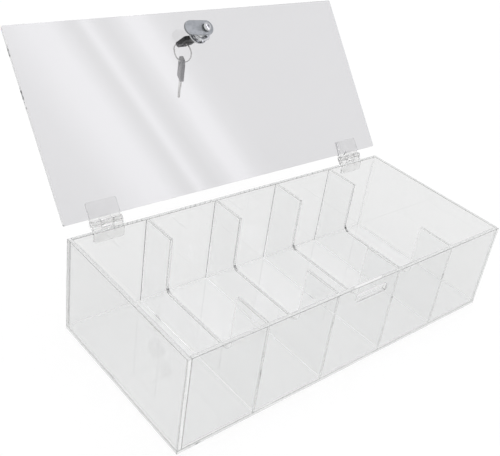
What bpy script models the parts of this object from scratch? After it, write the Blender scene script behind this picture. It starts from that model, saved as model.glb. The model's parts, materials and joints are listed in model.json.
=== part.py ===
"""Clear acrylic cash tray: five compartments, a flat lid on two butt hinges and a cam lock with keys.

Metres, +Z up. The origin is the centre of the underside, +X is the long side and -Y is the front.
The lid stands open. Its pieces are drawn as they lie when it is shut and are turned about the hinge pins.
"""
import math

import bmesh
import bpy
from mathutils import Matrix, Vector

# Box: panels of clear sheet bonded edge to edge
TRAY_WIDTH = 0.392
TRAY_DEPTH = 0.179
TRAY_HEIGHT = 0.097
WALL = 0.0038
GLUE_LINE = 0.0002
EDGE_ROUND = 0.0003

# Dividers: a post at each wall, joined by a low floor strip
COMPARTMENTS = 5
DIVIDER_SHEET = 0.003
POST_LENGTH = 0.0382
CUTOUT_FLOOR = 0.040
CUTOUT_RADIUS = 0.008
POST_CORNER = 0.0008

# Slot in the front wall that the cam turns into
SLOT_LENGTH = 0.038
SLOT_HEIGHT = 0.0074
SLOT_OFFSET = 0.004
SLOT_BELOW_RIM = 0.0092
SLOT_CORNER = 0.001

# Lid
LID_SHEET = 0.003
LID_LENGTH = 0.1773
LID_SEAT = 0.0003
LID_CORNER = 0.0012
OPEN_DEGREES = 129.5

# Butt hinges, one leaf on the back wall and one on top of the lid
HINGE_WIDTH = 0.0305
HINGE_FROM_END = 0.0405
LEAF_SHEET = 0.0018
LID_LEAF_LENGTH = 0.015
BOX_LEAF_DROP = 0.012
LEAF_CORNER = 0.002
PIN_OUT = 0.0048
PIN_UP = 0.0038
PIN_RADIUS = 0.0012
PIN_FIT = 0.0003
KNUCKLE_RADIUS = 0.0032
KNUCKLE_GAP = 0.0003
CENTRE_KNUCKLE = 0.0115
WEB_DROP = 0.005
WEB_OVERLAP = 0.002

# Cam lock: heights count outwards from the lid's outer face, along the lock's axis
LOCK_OFFSET = 0.0022
LOCK_FROM_FREE_EDGE = 0.0224
FIT = 0.0003
FLANGE_RADIUS = 0.011
FLANGE_RISE = 0.0025
FLANGE_CHAMFER = 0.0008
BARREL_RADIUS = 0.008
BARREL_FLAT = 0.007
BARREL_REACH = 0.0121
PLUG_RADIUS = 0.0055
PLUG_HEAD_RADIUS = 0.0062
PLUG_HEAD_RISE = 0.0015
TAIL_SIDE = 0.0056
WASHER_RADIUS = 0.0109
WASHER_TOOTH = 0.0011
WASHER_TEETH = 18
WASHER_SHEET = 0.0008
NUT_ACROSS_FLATS = 0.0195
NUT_HEIGHT = 0.0035
STOP_WASHER_RADIUS = 0.0072
STOP_WASHER_SHEET = 0.001
CAM_SHEET = 0.002
CAM_WIDTH = 0.015
CAM_REACH = 0.025
CAM_HEEL = 0.0083
CAM_TILT_DEGREES = 4.6
CAM_WASHER_RADIUS = 0.0044
CAM_WASHER_SHEET = 0.0008
SCREW_RADIUS = 0.0015
SCREW_HEAD_RADIUS = 0.00425
SCREW_HEAD_RIM = 0.0006
SCREW_HEAD_RISE = 0.0024
SCREW_GRIP = 0.0042
RECESS_WIDTH = 0.0009
RECESS_LENGTH = 0.0040
RECESS_DEPTH = 0.0012

# Plate tumblers in the plug
WAFERS = 4
WAFER_SHEET = 0.0008
WAFER_LENGTH = 0.0086
WAFER_WIDTH = 0.0056
WAFER_PITCH = 0.0022
FIRST_WAFER_DEPTH = 0.0003

# Keys: heights count up from the hole in the head
BLADE_WIDTH = 0.006
BLADE_SHEET = 0.0018
BLADE_REACH = 0.0214
BLADE_TANG = 0.005
BLADE_TIP = 0.002
BLADE_NECK = 0.012
SHANK_LENGTH = 0.0083
SHOULDER = 0.0018
CUT_DEPTH = 0.0012
CUT_HALF_WIDTH = 0.0009
CUT_DEPTH_SHARES = (0.45, 1.0, 0.3, 0.75)
HEAD_LENGTH = 0.0238
HEAD_WIDTH = 0.0192
HEAD_SHEET = 0.0034
HEAD_CORNER = 0.002
HEAD_EDGE_ROUND = 0.0008
HEAD_OUTLINE_SHARES = ((1.0, 0.0), (1.0, 0.8), (0.52, 1.0))
KEY_HOLE_RADIUS = 0.004
KEY_HOLE_FROM_TIP = 0.0058

# Split ring of two turns and the spare key on it
RING_RADIUS = 0.0106
RING_WIRE = 0.0008
RING_PITCH = 0.00122
RING_TURNS = 2
RING_HEADING_DEGREES = 113
RING_START_DEGREES = 90
RING_FROM_HOLE = (0.0005, 0.0022, 0.0002)
SPARE_HEADING_DEGREES = -25
SPARE_DROP = 0.0012

# Drawing accuracy
ROUND_STEPS = 32
ARC_STEPS = 6
LOOP_POINTS = 24
SHARP_DEGREES = 40
CUT_OVERRUN = 0.001
WELD_DISTANCE = 0.000001

# Places worked out from the sizes above
HALF_WIDTH = TRAY_WIDTH / 2
HALF_DEPTH = TRAY_DEPTH / 2
INNER_BACK = HALF_DEPTH - WALL
FLOOR_TOP = WALL
LID_BOTTOM = TRAY_HEIGHT + LID_SEAT
LID_TOP = LID_BOTTOM + LID_SHEET
PIN_Y = HALF_DEPTH + PIN_OUT
PIN_Z = TRAY_HEIGHT + PIN_UP
LOCK_Y = HALF_DEPTH - LID_LENGTH + LOCK_FROM_FREE_EDGE
WASHER_TOP = -LID_SHEET - FIT
NUT_TOP = WASHER_TOP - WASHER_SHEET - FIT
STOP_WASHER_TOP = -BARREL_REACH - FIT
CAM_TOP = STOP_WASHER_TOP - STOP_WASHER_SHEET - FIT
CAM_BOTTOM = CAM_TOP - CAM_SHEET
CAM_WASHER_TOP = CAM_BOTTOM - FIT
SCREW_HEAD_TOP = CAM_WASHER_TOP - CAM_WASHER_SHEET - FIT
PLUG_HEAD_TOP = FIT + FLANGE_RISE + FIT
BORE_RADIUS = PLUG_RADIUS + FIT
BLADE_TIP_DEPTH = BLADE_REACH - BLADE_NECK
KEY_HOLE_HEIGHT = BLADE_NECK + HEAD_LENGTH - KEY_HOLE_FROM_TIP
HEAD_TIP = KEY_HOLE_FROM_TIP
HEAD_BASE = HEAD_TIP - HEAD_LENGTH

tray = bpy.data.collections.new("cash_tray")
cutters = bpy.data.collections.new("cutters")


def clear_scene():
    """Removes every object, so that the script starts on an empty scene."""
    for old in list(bpy.data.objects):
        bpy.data.objects.remove(old, do_unlink=True)
    bpy.context.scene.collection.children.link(tray)
    bpy.context.scene.collection.children.link(cutters)


def make_material(name, colour, roughness, metallic=0.0, clear=0.0):
    """A Principled material; clear is the share of light that passes through."""
    material = bpy.data.materials.new(name)
    material.use_nodes = True
    shader = material.node_tree.nodes["Principled BSDF"]
    shader.inputs["Base Color"].default_value = (*colour, 1.0)
    shader.inputs["Roughness"].default_value = roughness
    shader.inputs["Metallic"].default_value = metallic
    shader.inputs["Transmission Weight"].default_value = clear
    shader.inputs["IOR"].default_value = 1.49
    return material


def add_object(name, mesh, material, collection=tray):
    """Links a mesh to a collection as a named object."""
    piece = bpy.data.objects.new(name, mesh)
    if material is not None and not mesh.materials:
        mesh.materials.append(material)
    collection.objects.link(piece)
    return piece


def hide_cutter(piece):
    """Marks a shape that only cuts or joins another."""
    piece.hide_render = True
    piece.display_type = "WIRE"
    return piece


def join_or_cut(piece, tool, operation):
    """Adds an exact Boolean modifier of the tool to the piece."""
    modifier = piece.modifiers.new(tool.name, "BOOLEAN")
    modifier.operation = operation
    modifier.solver = "EXACT"
    modifier.object = tool


def round_edges(piece, width):
    """Rounds the sharp edges of a piece by a small width."""
    rounding = piece.modifiers.new("edges", "BEVEL")
    rounding.width = width
    rounding.segments = 2
    rounding.limit_method = "ANGLE"
    rounding.angle_limit = math.radians(SHARP_DEGREES)


def block(name, low, high, material, edge=EDGE_ROUND, collection=tray):
    """A box between two corners with lightly rounded edges."""
    low, high = Vector(low), Vector(high)
    shape = bmesh.new()
    bmesh.ops.create_cube(shape, size=1.0)
    bmesh.ops.scale(shape, vec=high - low, verts=shape.verts)
    bmesh.ops.translate(shape, vec=(low + high) / 2, verts=shape.verts)
    mesh = bpy.data.meshes.new(name)
    shape.to_mesh(mesh)
    shape.free()
    piece = add_object(name, mesh, material, collection)
    if edge:
        round_edges(piece, edge)
    return piece


def rounded_outline(corners, radii):
    """The points of a closed outline whose corners are arcs of the given radii."""
    points = []
    for i, corner in enumerate(corners):
        here = Vector(corner)
        before = (Vector(corners[i - 1]) - here).normalized()
        after = (Vector(corners[(i + 1) % len(corners)]) - here).normalized()
        radius = radii[i]
        if not radius:
            points.append(here)
            continue
        half = before.angle(after) / 2
        centre = here + (before + after).normalized() * radius / math.sin(half)
        first = here + before * radius / math.tan(half) - centre
        last = here + after * radius / math.tan(half) - centre
        for step in range(ARC_STEPS + 1):
            points.append(centre + radius * first.slerp(last, step / ARC_STEPS))
    return points


def circle(radius, centre=(0.0, 0.0), steps=ROUND_STEPS):
    """The points of a full circle."""
    turns = [2 * math.pi * step / steps for step in range(steps)]
    return [Vector((centre[0] + radius * math.cos(a), centre[1] + radius * math.sin(a))) for a in turns]


def arc(radius, centre, start, end, steps):
    """Points on a circle from one angle to another, in degrees."""
    angles = [math.radians(start + (end - start) * step / steps) for step in range(steps + 1)]
    return [Vector((centre[0] + radius * math.cos(a), centre[1] + radius * math.sin(a))) for a in angles]


def toothed(radius, depth, count):
    """A round outline with evenly spaced teeth."""
    points = circle(radius, steps=4 * count)
    root = (radius - depth) / radius
    return [p * root if i % 4 < 2 else p for i, p in enumerate(points)]


def rectangle(half_x, half_y):
    """The corners of a rectangle about the origin."""
    return [Vector(p) for p in ((-half_x, -half_y), (half_x, -half_y), (half_x, half_y), (-half_x, half_y))]


def curve_to_mesh(name, curve, material, collection=tray):
    """Turns a curve into a closed mesh object with its caps welded."""
    drawn = bpy.data.objects.new(name + "_curve", curve)
    bpy.context.scene.collection.objects.link(drawn)
    bpy.context.view_layer.update()
    evaluated = drawn.evaluated_get(bpy.context.evaluated_depsgraph_get())
    mesh = bpy.data.meshes.new_from_object(evaluated)
    mesh.name = name
    bpy.data.objects.remove(drawn, do_unlink=True)
    shape = bmesh.new()
    shape.from_mesh(mesh)
    bmesh.ops.remove_doubles(shape, verts=shape.verts, dist=WELD_DISTANCE)
    bmesh.ops.recalc_face_normals(shape, faces=shape.faces)
    shape.to_mesh(mesh)
    shape.free()
    mesh.shade_smooth()
    mesh.set_sharp_from_angle(angle=math.radians(SHARP_DEGREES))
    return add_object(name, mesh, material, collection)


def plate(name, outlines, thickness, material, edge=EDGE_ROUND, collection=tray):
    """A flat plate in the local XY plane; the first outline is its edge and the others are holes."""
    curve = bpy.data.curves.new(name, "CURVE")
    curve.dimensions = "2D"
    curve.fill_mode = "BOTH"
    curve.extrude = thickness / 2
    for outline in outlines:
        spline = curve.splines.new("POLY")
        spline.points.add(len(outline) - 1)
        for point, place in zip(spline.points, outline):
            point.co = (place.x, place.y, 0.0, 1.0)
        spline.use_cyclic_u = True
    piece = curve_to_mesh(name, curve, material, collection)
    if edge:
        round_edges(piece, edge)
    return piece


def turned(name, profile, material, closed=False):
    """A turned shape: the profile holds radius and height, down its outer side."""
    mesh = bpy.data.meshes.new(name)
    edges = [(i, i + 1) for i in range(len(profile) - 1)]
    if closed:
        edges.append((len(profile) - 1, 0))
    mesh.from_pydata([(radius, 0.0, height) for radius, height in profile], edges, [])
    piece = add_object(name, mesh, material)
    spin = piece.modifiers.new("turn", "SCREW")
    spin.axis = "Z"
    spin.angle = 2 * math.pi
    spin.steps = ROUND_STEPS
    spin.render_steps = ROUND_STEPS
    spin.use_smooth_shade = True
    spin.use_merge_vertices = True
    spin.merge_threshold = WELD_DISTANCE
    return piece


def frame_of(origin, x_axis, y_axis, z_axis):
    """A placing matrix from an origin and three axes."""
    turn = Matrix((x_axis, y_axis, z_axis)).transposed().to_4x4()
    return Matrix.Translation(origin) @ turn


def pivot(name, frame, parent=None):
    """An empty that carries the pieces of one moving body."""
    empty = bpy.data.objects.new(name, None)
    tray.objects.link(empty)
    hang(empty, parent, frame)
    return empty


def hang(piece, parent, frame):
    """Parents a piece without moving it and places it by its world frame."""
    if parent is not None:
        piece.parent = parent
        bpy.context.view_layer.update()
        piece.matrix_parent_inverse = parent.matrix_world.inverted()
    piece.matrix_basis = frame
    bpy.context.view_layer.update()
    return piece


# Local plate axes: outline x, outline y and thickness
SIDE_VIEW = frame_of((0, 0, 0), (0, 1, 0), (0, 0, 1), (1, 0, 0))
FRONT_VIEW = frame_of((0, 0, 0), (1, 0, 0), (0, 0, 1), (0, -1, 0))


def slot_outline():
    """The slot for the cam, seen from the front."""
    left = SLOT_OFFSET - SLOT_LENGTH / 2
    top = TRAY_HEIGHT - SLOT_BELOW_RIM
    corners = [
        (left, top - SLOT_HEIGHT), (left + SLOT_LENGTH, top - SLOT_HEIGHT),
        (left + SLOT_LENGTH, top), (left, top),
    ]
    return rounded_outline(corners, [SLOT_CORNER] * len(corners))


def build_box(acrylic):
    """The base and the four walls; the side walls cover the ends of the front and back walls."""
    wall_foot = FLOOR_TOP + GLUE_LINE
    inner_end = HALF_WIDTH - WALL - GLUE_LINE
    block("base_panel", (-HALF_WIDTH, -HALF_DEPTH, 0), (HALF_WIDTH, HALF_DEPTH, FLOOR_TOP), acrylic)
    inner_side = HALF_WIDTH - WALL
    block("left_wall", (-HALF_WIDTH, -HALF_DEPTH, wall_foot), (-inner_side, HALF_DEPTH, TRAY_HEIGHT), acrylic)
    block("right_wall", (inner_side, -HALF_DEPTH, wall_foot), (HALF_WIDTH, HALF_DEPTH, TRAY_HEIGHT), acrylic)
    block("back_wall", (-inner_end, INNER_BACK, wall_foot), (inner_end, HALF_DEPTH, TRAY_HEIGHT), acrylic)
    outline = [Vector(p) for p in (
        (-inner_end, wall_foot), (inner_end, wall_foot), (inner_end, TRAY_HEIGHT), (-inner_end, TRAY_HEIGHT),
    )]
    front_wall = plate("front_wall", [outline, slot_outline()], WALL, acrylic)
    hang(front_wall, None, Matrix.Translation((0, WALL / 2 - HALF_DEPTH, 0)) @ FRONT_VIEW)


def divider_outline():
    """A divider from the side: two full-height posts and the low strip between them."""
    end = INNER_BACK - GLUE_LINE
    foot = FLOOR_TOP + GLUE_LINE
    post = INNER_BACK - POST_LENGTH
    corners = [
        (-end, foot), (end, foot), (end, TRAY_HEIGHT), (post, TRAY_HEIGHT),
        (post, CUTOUT_FLOOR), (-post, CUTOUT_FLOOR), (-post, TRAY_HEIGHT), (-end, TRAY_HEIGHT),
    ]
    radii = [0, 0, 0, POST_CORNER, CUTOUT_RADIUS, CUTOUT_RADIUS, POST_CORNER, 0]
    return rounded_outline(corners, radii)


def build_dividers(acrylic):
    """Dividers at equal fifths of the tray's width."""
    for i in range(1, COMPARTMENTS):
        centre = i * TRAY_WIDTH / COMPARTMENTS - HALF_WIDTH
        divider = plate(f"divider_{i}", [divider_outline()], DIVIDER_SHEET, acrylic)
        hang(divider, None, Matrix.Translation((centre, 0, 0)) @ SIDE_VIEW)


def double_d(radius, flat):
    """A round outline with two flats, across local Y."""
    edge = math.degrees(math.asin(flat / radius))
    return arc(radius, (0, 0), -edge, edge, ROUND_STEPS // 2) + arc(
        radius, (0, 0), 180 - edge, 180 + edge, ROUND_STEPS // 2
    )


def lid_outline():
    """The lid from above, shut, about the lock's axis."""
    front = -LOCK_FROM_FREE_EDGE
    left = -HALF_WIDTH - LOCK_OFFSET
    corners = [
        (left, front), (left + TRAY_WIDTH, front),
        (left + TRAY_WIDTH, front + LID_LENGTH), (left, front + LID_LENGTH),
    ]
    return rounded_outline(corners, [LID_CORNER] * len(corners))


def build_lid(acrylic, shut, lid_pivot):
    """The flat lid with the lock's hole."""
    outlines = [lid_outline(), double_d(BARREL_RADIUS + FIT, BARREL_FLAT + FIT)]
    lid = plate("lid_panel", outlines, LID_SHEET, acrylic)
    middle = Matrix.Translation((LOCK_OFFSET, LOCK_Y, LID_TOP - LID_SHEET / 2))
    hang(lid, lid_pivot, shut @ middle)


def knuckle(name, outline, length, centre_x, collection=cutters):
    """A length of hinge knuckle with its web, extruded along the pin."""
    bore = circle(PIN_RADIUS + PIN_FIT, (PIN_Y, PIN_Z), ROUND_STEPS // 2)
    piece = plate(name, [outline, bore], length, None, 0.0, collection)
    hang(piece, None, Matrix.Translation((centre_x, 0, 0)) @ SIDE_VIEW)
    return hide_cutter(piece)


def box_knuckle_outline():
    """Side view of the box leaf's knuckle: up from the leaf and round the pin."""
    inner = HALF_DEPTH + GLUE_LINE
    foot = TRAY_HEIGHT - WEB_DROP
    around = arc(KNUCKLE_RADIUS, (PIN_Y, PIN_Z), 180, -80, ROUND_STEPS // 2)
    shoulder = TRAY_HEIGHT - KNUCKLE_GAP
    start = [Vector((inner + LEAF_SHEET, foot)), Vector((inner, foot)), Vector((inner, shoulder))]
    return start + around


def lid_knuckle_outline():
    """Side view of the lid leaf's knuckle: back from the lid leaf and round the pin."""
    under = LID_TOP + GLUE_LINE
    start = HALF_DEPTH - WEB_OVERLAP
    around = arc(KNUCKLE_RADIUS, (PIN_Y, PIN_Z), 186, 460, ROUND_STEPS // 2)
    return [Vector((start, under + LEAF_SHEET)), Vector((start, under))] + around


def build_hinge(side, centre_x, clear_plastic, shut, lid_pivot):
    """Two leaves and the pin; the box leaf has the outer knuckles and the lid leaf the middle one."""
    inner = HALF_DEPTH + GLUE_LINE
    left, right = centre_x - HINGE_WIDTH / 2, centre_x + HINGE_WIDTH / 2
    outer_length = (HINGE_WIDTH - CENTRE_KNUCKLE) / 2 - KNUCKLE_GAP

    low = (left, inner, TRAY_HEIGHT - BOX_LEAF_DROP)
    high = (right, inner + LEAF_SHEET, TRAY_HEIGHT - KNUCKLE_GAP)
    box_leaf = block(f"{side}_hinge_box_leaf", low, high, clear_plastic)
    for end, x in (("left", left + outer_length / 2), ("right", right - outer_length / 2)):
        tool = knuckle(f"{side}_box_knuckle_{end}", box_knuckle_outline(), outer_length, x)
        join_or_cut(box_leaf, tool, "UNION")

    under = LID_TOP + GLUE_LINE
    low = (left, HALF_DEPTH - LID_LEAF_LENGTH, under)
    high = (right, HALF_DEPTH, under + LEAF_SHEET)
    lid_leaf = block(f"{side}_hinge_lid_leaf", low, high, clear_plastic)
    tool = knuckle(f"{side}_lid_knuckle", lid_knuckle_outline(), CENTRE_KNUCKLE, centre_x)
    join_or_cut(lid_leaf, tool, "UNION")
    hang(tool, lid_pivot, shut @ tool.matrix_world)
    hang(lid_leaf, lid_pivot, shut)

    half = HINGE_WIDTH / 2
    profile = [(0, half), (PIN_RADIUS, half), (PIN_RADIUS, -half), (0, -half)]
    pin = turned(f"{side}_hinge_pin", profile, clear_plastic)
    lengthwise = Matrix.Rotation(math.pi / 2, 4, "Y")
    hang(pin, None, Matrix.Translation((centre_x, PIN_Y, PIN_Z)) @ lengthwise)


def build_lock_body(chrome, lock_frame, lid_pivot):
    """The flanged barrel through the lid, its washer and its nut."""
    seat = FIT
    face = seat + FLANGE_RISE
    pocket = face - PLUG_HEAD_RISE
    barrel = turned("lock_barrel", [
        (FLANGE_RADIUS - FLANGE_CHAMFER, face), (FLANGE_RADIUS, face - FLANGE_CHAMFER), (FLANGE_RADIUS, seat),
        (BARREL_RADIUS, seat), (BARREL_RADIUS, -BARREL_REACH), (BORE_RADIUS, -BARREL_REACH),
        (BORE_RADIUS, pocket), (PLUG_HEAD_RADIUS + FIT, pocket), (PLUG_HEAD_RADIUS + FIT, face),
    ], chrome, closed=True)
    reach = BARREL_REACH + CUT_OVERRUN
    for side in (-1, 1):
        near, far = side * BARREL_FLAT, side * (BARREL_RADIUS + CUT_OVERRUN)
        low = (-BARREL_RADIUS, min(near, far), -reach)
        high = (BARREL_RADIUS, max(near, far), seat - GLUE_LINE)
        flat = hide_cutter(block(f"barrel_flat_{side}", low, high, None, 0, cutters))
        hang(flat, lid_pivot, lock_frame)
        join_or_cut(barrel, flat, "DIFFERENCE")
    hang(barrel, lid_pivot, lock_frame)

    washer = [toothed(WASHER_RADIUS, WASHER_TOOTH, WASHER_TEETH), circle(BARREL_RADIUS + FIT)]
    ring = plate("lock_tooth_washer", washer, WASHER_SHEET, chrome, 0)
    hang(ring, lid_pivot, lock_frame @ Matrix.Translation((0, 0, WASHER_TOP - WASHER_SHEET / 2)))

    corner_radius = NUT_ACROSS_FLATS / 2 / math.cos(math.pi / 6)
    nut = plate("lock_nut", [circle(corner_radius, steps=6), circle(BARREL_RADIUS + FIT)], NUT_HEIGHT, chrome)
    hang(nut, lid_pivot, lock_frame @ Matrix.Translation((0, 0, NUT_TOP - NUT_HEIGHT / 2)))


def build_plug(brass, lock_frame, cam_frame, lock_pivot):
    """The plug that the key turns, with its keyway, wafer slots and square tail."""
    bottom = -BARREL_REACH
    tail_end = CAM_BOTTOM + FIT
    neck = PLUG_HEAD_TOP - PLUG_HEAD_RISE
    plug = turned("lock_plug", [
        (0, PLUG_HEAD_TOP), (PLUG_HEAD_RADIUS, PLUG_HEAD_TOP), (PLUG_HEAD_RADIUS, neck),
        (PLUG_RADIUS, neck), (PLUG_RADIUS, bottom), (0, bottom),
    ], brass)
    half = TAIL_SIDE / 2
    tail = block("plug_tail", (-half, -half, tail_end), (half, half, bottom + CUT_OVERRUN), None, 0, cutters)
    half_x, half_y = BLADE_WIDTH / 2 + FIT, BLADE_SHEET / 2 + FIT
    keyway_end = -BLADE_TIP_DEPTH - FIT
    top = PLUG_HEAD_TOP + CUT_OVERRUN
    keyway = block("keyway", (-half_x, -half_y, keyway_end), (half_x, half_y, top), None, 0, cutters)
    hang(tail, lock_pivot, cam_frame)
    join_or_cut(plug, hide_cutter(tail), "UNION")
    tools = [keyway]
    for i in range(WAFERS):
        height = -FIRST_WAFER_DEPTH - i * WAFER_PITCH
        half_slot = WAFER_SHEET / 2 + FIT
        low = (-PLUG_RADIUS - CUT_OVERRUN, -WAFER_WIDTH / 2 - FIT, height - half_slot)
        high = (PLUG_RADIUS + CUT_OVERRUN, WAFER_WIDTH / 2 + FIT, height + half_slot)
        tools.append(block(f"wafer_slot_{i + 1}", low, high, None, 0, cutters))
    hole_top = tail_end + SCREW_GRIP
    hole_start = tail_end - CUT_OVERRUN
    rim = circle(SCREW_RADIUS + FIT, steps=ROUND_STEPS // 2)
    hole = plate("screw_hole", [rim], hole_top - hole_start, None, 0, cutters)
    hang(hole, lock_pivot, lock_frame @ Matrix.Translation((0, 0, (hole_top + hole_start) / 2)))
    for tool in tools:
        hang(tool, lock_pivot, lock_frame)
        join_or_cut(plug, hide_cutter(tool), "DIFFERENCE")
    join_or_cut(plug, hide_cutter(hole), "DIFFERENCE")
    hang(plug, lock_pivot, lock_frame)


def build_wafers(brass, lock_frame, lock_pivot):
    """Plate tumblers, each with a window for the key's blade."""
    window = rectangle(BLADE_WIDTH / 2 + FIT, BLADE_SHEET / 2 + FIT)
    outline = rectangle(WAFER_LENGTH / 2, WAFER_WIDTH / 2)
    for i in range(WAFERS):
        wafer = plate(f"lock_wafer_{i + 1}", [outline, window], WAFER_SHEET, brass, 0)
        height = -FIRST_WAFER_DEPTH - i * WAFER_PITCH
        hang(wafer, lock_pivot, lock_frame @ Matrix.Translation((0, 0, height)))


def build_cam(steel, chrome, cam_frame, lock_pivot):
    """The stop washer, the cam and the screw that holds them on the plug's tail."""
    square = rectangle(TAIL_SIDE / 2 + FIT, TAIL_SIDE / 2 + FIT)
    stop = plate("lock_stop_washer", [circle(STOP_WASHER_RADIUS), square], STOP_WASHER_SHEET, steel, 0)
    hang(stop, lock_pivot, cam_frame @ Matrix.Translation((0, 0, STOP_WASHER_TOP - STOP_WASHER_SHEET / 2)))

    radius = CAM_WIDTH / 2
    tip = radius - CAM_REACH
    steps = ROUND_STEPS // 2
    heel = CAM_HEEL - radius
    outline = arc(radius, (heel, 0), -90, 90, steps) + arc(radius, (tip, 0), 90, 270, steps)
    cam = plate("cam", [outline, square], CAM_SHEET, steel)
    hang(cam, lock_pivot, cam_frame @ Matrix.Translation((0, 0, CAM_TOP - CAM_SHEET / 2)))

    rings = [circle(CAM_WASHER_RADIUS), circle(SCREW_RADIUS + FIT, steps=ROUND_STEPS // 2)]
    washer = plate("cam_spring_washer", rings, CAM_WASHER_SHEET, chrome, 0)
    hang(washer, lock_pivot, cam_frame @ Matrix.Translation((0, 0, CAM_WASHER_TOP - CAM_WASHER_SHEET / 2)))

    shank_top = CAM_BOTTOM + SCREW_GRIP
    dome = SCREW_HEAD_RISE - SCREW_HEAD_RIM
    rim = SCREW_HEAD_TOP - SCREW_HEAD_RIM
    angles = [math.pi / 2 * step / ARC_STEPS for step in range(ARC_STEPS + 1)]
    crown = [(SCREW_HEAD_RADIUS * math.cos(a), rim - dome * math.sin(a)) for a in angles[:-1]]
    profile = [(0, shank_top), (SCREW_RADIUS, shank_top), (SCREW_RADIUS, SCREW_HEAD_TOP)]
    profile += [(SCREW_HEAD_RADIUS, SCREW_HEAD_TOP)] + crown + [(0, rim - dome)]
    screw = turned("cam_screw", profile, chrome)
    bottom = SCREW_HEAD_TOP - SCREW_HEAD_RISE
    for label, half_x, half_y in (("a", RECESS_LENGTH, RECESS_WIDTH), ("b", RECESS_WIDTH, RECESS_LENGTH)):
        low = (-half_x / 2, -half_y / 2, bottom - CUT_OVERRUN)
        high = (half_x / 2, half_y / 2, bottom + RECESS_DEPTH)
        slot = hide_cutter(block(f"screw_slot_{label}", low, high, None, 0, cutters))
        hang(slot, lock_pivot, cam_frame)
        join_or_cut(screw, slot, "DIFFERENCE")
    hang(screw, lock_pivot, cam_frame)


def blade_outline():
    """The key's blade from the side: tang, shouldered shank, cuts on one edge and a pointed tip."""
    half = BLADE_WIDTH / 2
    top = HEAD_BASE + BLADE_TANG
    neck = HEAD_BASE - FIT
    shoulder = HEAD_BASE - SHANK_LENGTH
    lid_face = HEAD_BASE - BLADE_NECK
    end = HEAD_BASE - BLADE_REACH
    points = [(half, top), (half, neck), (half + SHOULDER, neck)]
    points += [(half + SHOULDER, shoulder), (half, shoulder)]
    for i, share in enumerate(CUT_DEPTH_SHARES):
        middle = lid_face - FIRST_WAFER_DEPTH - i * WAFER_PITCH
        points.append((half, middle + CUT_HALF_WIDTH))
        points.append((half - share * CUT_DEPTH, middle))
        points.append((half, middle - CUT_HALF_WIDTH))
    points += [(half, end + BLADE_TIP), (half - BLADE_TIP, end)]
    points += [(BLADE_TIP - half, end), (-half, end + BLADE_TIP), (-half, top)]
    return [Vector(p) for p in points]


def head_outline():
    """The key's head, mirrored about its middle."""
    right = [(x * HEAD_WIDTH / 2, HEAD_BASE + y * HEAD_LENGTH) for x, y in HEAD_OUTLINE_SHARES]
    left = [(-x, y) for x, y in reversed(right)]
    corners = right + left
    return rounded_outline(corners, [HEAD_CORNER] * len(corners))


def build_key(prefix, blade_metal, head_plastic, key_frame, key_pivot):
    """A key: the cut blade and the moulded head with its hole."""
    blade = plate(f"{prefix}_blade", [blade_outline()], BLADE_SHEET, blade_metal)
    hang(blade, key_pivot, key_frame @ FRONT_VIEW)
    outlines = [head_outline(), circle(KEY_HOLE_RADIUS, steps=24)]
    head = plate(f"{prefix}_head", outlines, HEAD_SHEET, head_plastic, HEAD_EDGE_ROUND)
    half_x, half_y = BLADE_WIDTH / 2 + FIT, BLADE_SHEET / 2 + FIT
    low = (-half_x, -half_y, HEAD_BASE - CUT_OVERRUN)
    high = (half_x, half_y, HEAD_BASE + BLADE_TANG + FIT)
    pocket = hide_cutter(block(f"{prefix}_pocket", low, high, None, 0, cutters))
    hang(pocket, key_pivot, key_frame)
    join_or_cut(head, pocket, "DIFFERENCE")
    hang(head, key_pivot, key_frame @ FRONT_VIEW)


def ring_points():
    """The centre line of the split ring, hanging from the local origin in the local XZ plane."""
    count = LOOP_POINTS * RING_TURNS
    middle = RING_TURNS / 2 + RING_START_DEGREES / 360
    points = []
    for step in range(count + 1):
        turn = step / LOOP_POINTS
        angle = math.radians(RING_START_DEGREES) + 2 * math.pi * turn
        lift = (turn - middle) * RING_PITCH
        points.append(Vector((
            RING_RADIUS * math.sin(angle), lift, RING_RADIUS * math.cos(angle) - RING_RADIUS,
        )))
    return points


def least_gap(points):
    """The least clear distance between turns of the ring's wire."""
    apart = LOOP_POINTS // 2
    gaps = [
        (points[i] - points[j]).length
        for i in range(len(points)) for j in range(i + apart, len(points))
    ]
    return min(gaps) - RING_WIRE


def build_ring(steel, ring_frame, ring_pivot):
    """The split ring: one unbroken wire of two turns."""
    points = ring_points()
    print(f"least gap between the ring's turns: {least_gap(points) * 1000:.2f} mm")
    curve = bpy.data.curves.new("key_ring", "CURVE")
    curve.dimensions = "3D"
    curve.bevel_depth = RING_WIRE / 2
    curve.bevel_resolution = 1
    curve.use_fill_caps = True
    spline = curve.splines.new("POLY")
    spline.points.add(len(points) - 1)
    for point, place in zip(spline.points, points):
        point.co = (*place, 1.0)
    ring = curve_to_mesh("key_ring", curve, steel)
    hang(ring, ring_pivot, ring_frame)


def ring_frame_at(hole):
    """Hangs the ring upright: the origin is the ring's top, where the wire runs along X."""
    heading = Matrix.Rotation(math.radians(RING_HEADING_DEGREES), 4, "Z")
    return Matrix.Translation(hole + Vector(RING_FROM_HOLE)) @ heading


def spare_frame_at(lowest):
    """Hangs the spare key upright from the ring's lowest point, midway between its turns."""
    heading = math.radians(SPARE_HEADING_DEGREES)
    hole_axis = Vector((math.cos(heading), math.sin(heading), 0))
    up = Vector((0, 0, 1))
    return frame_of(lowest - up * SPARE_DROP, hole_axis.cross(up), hole_axis, up)


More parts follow.
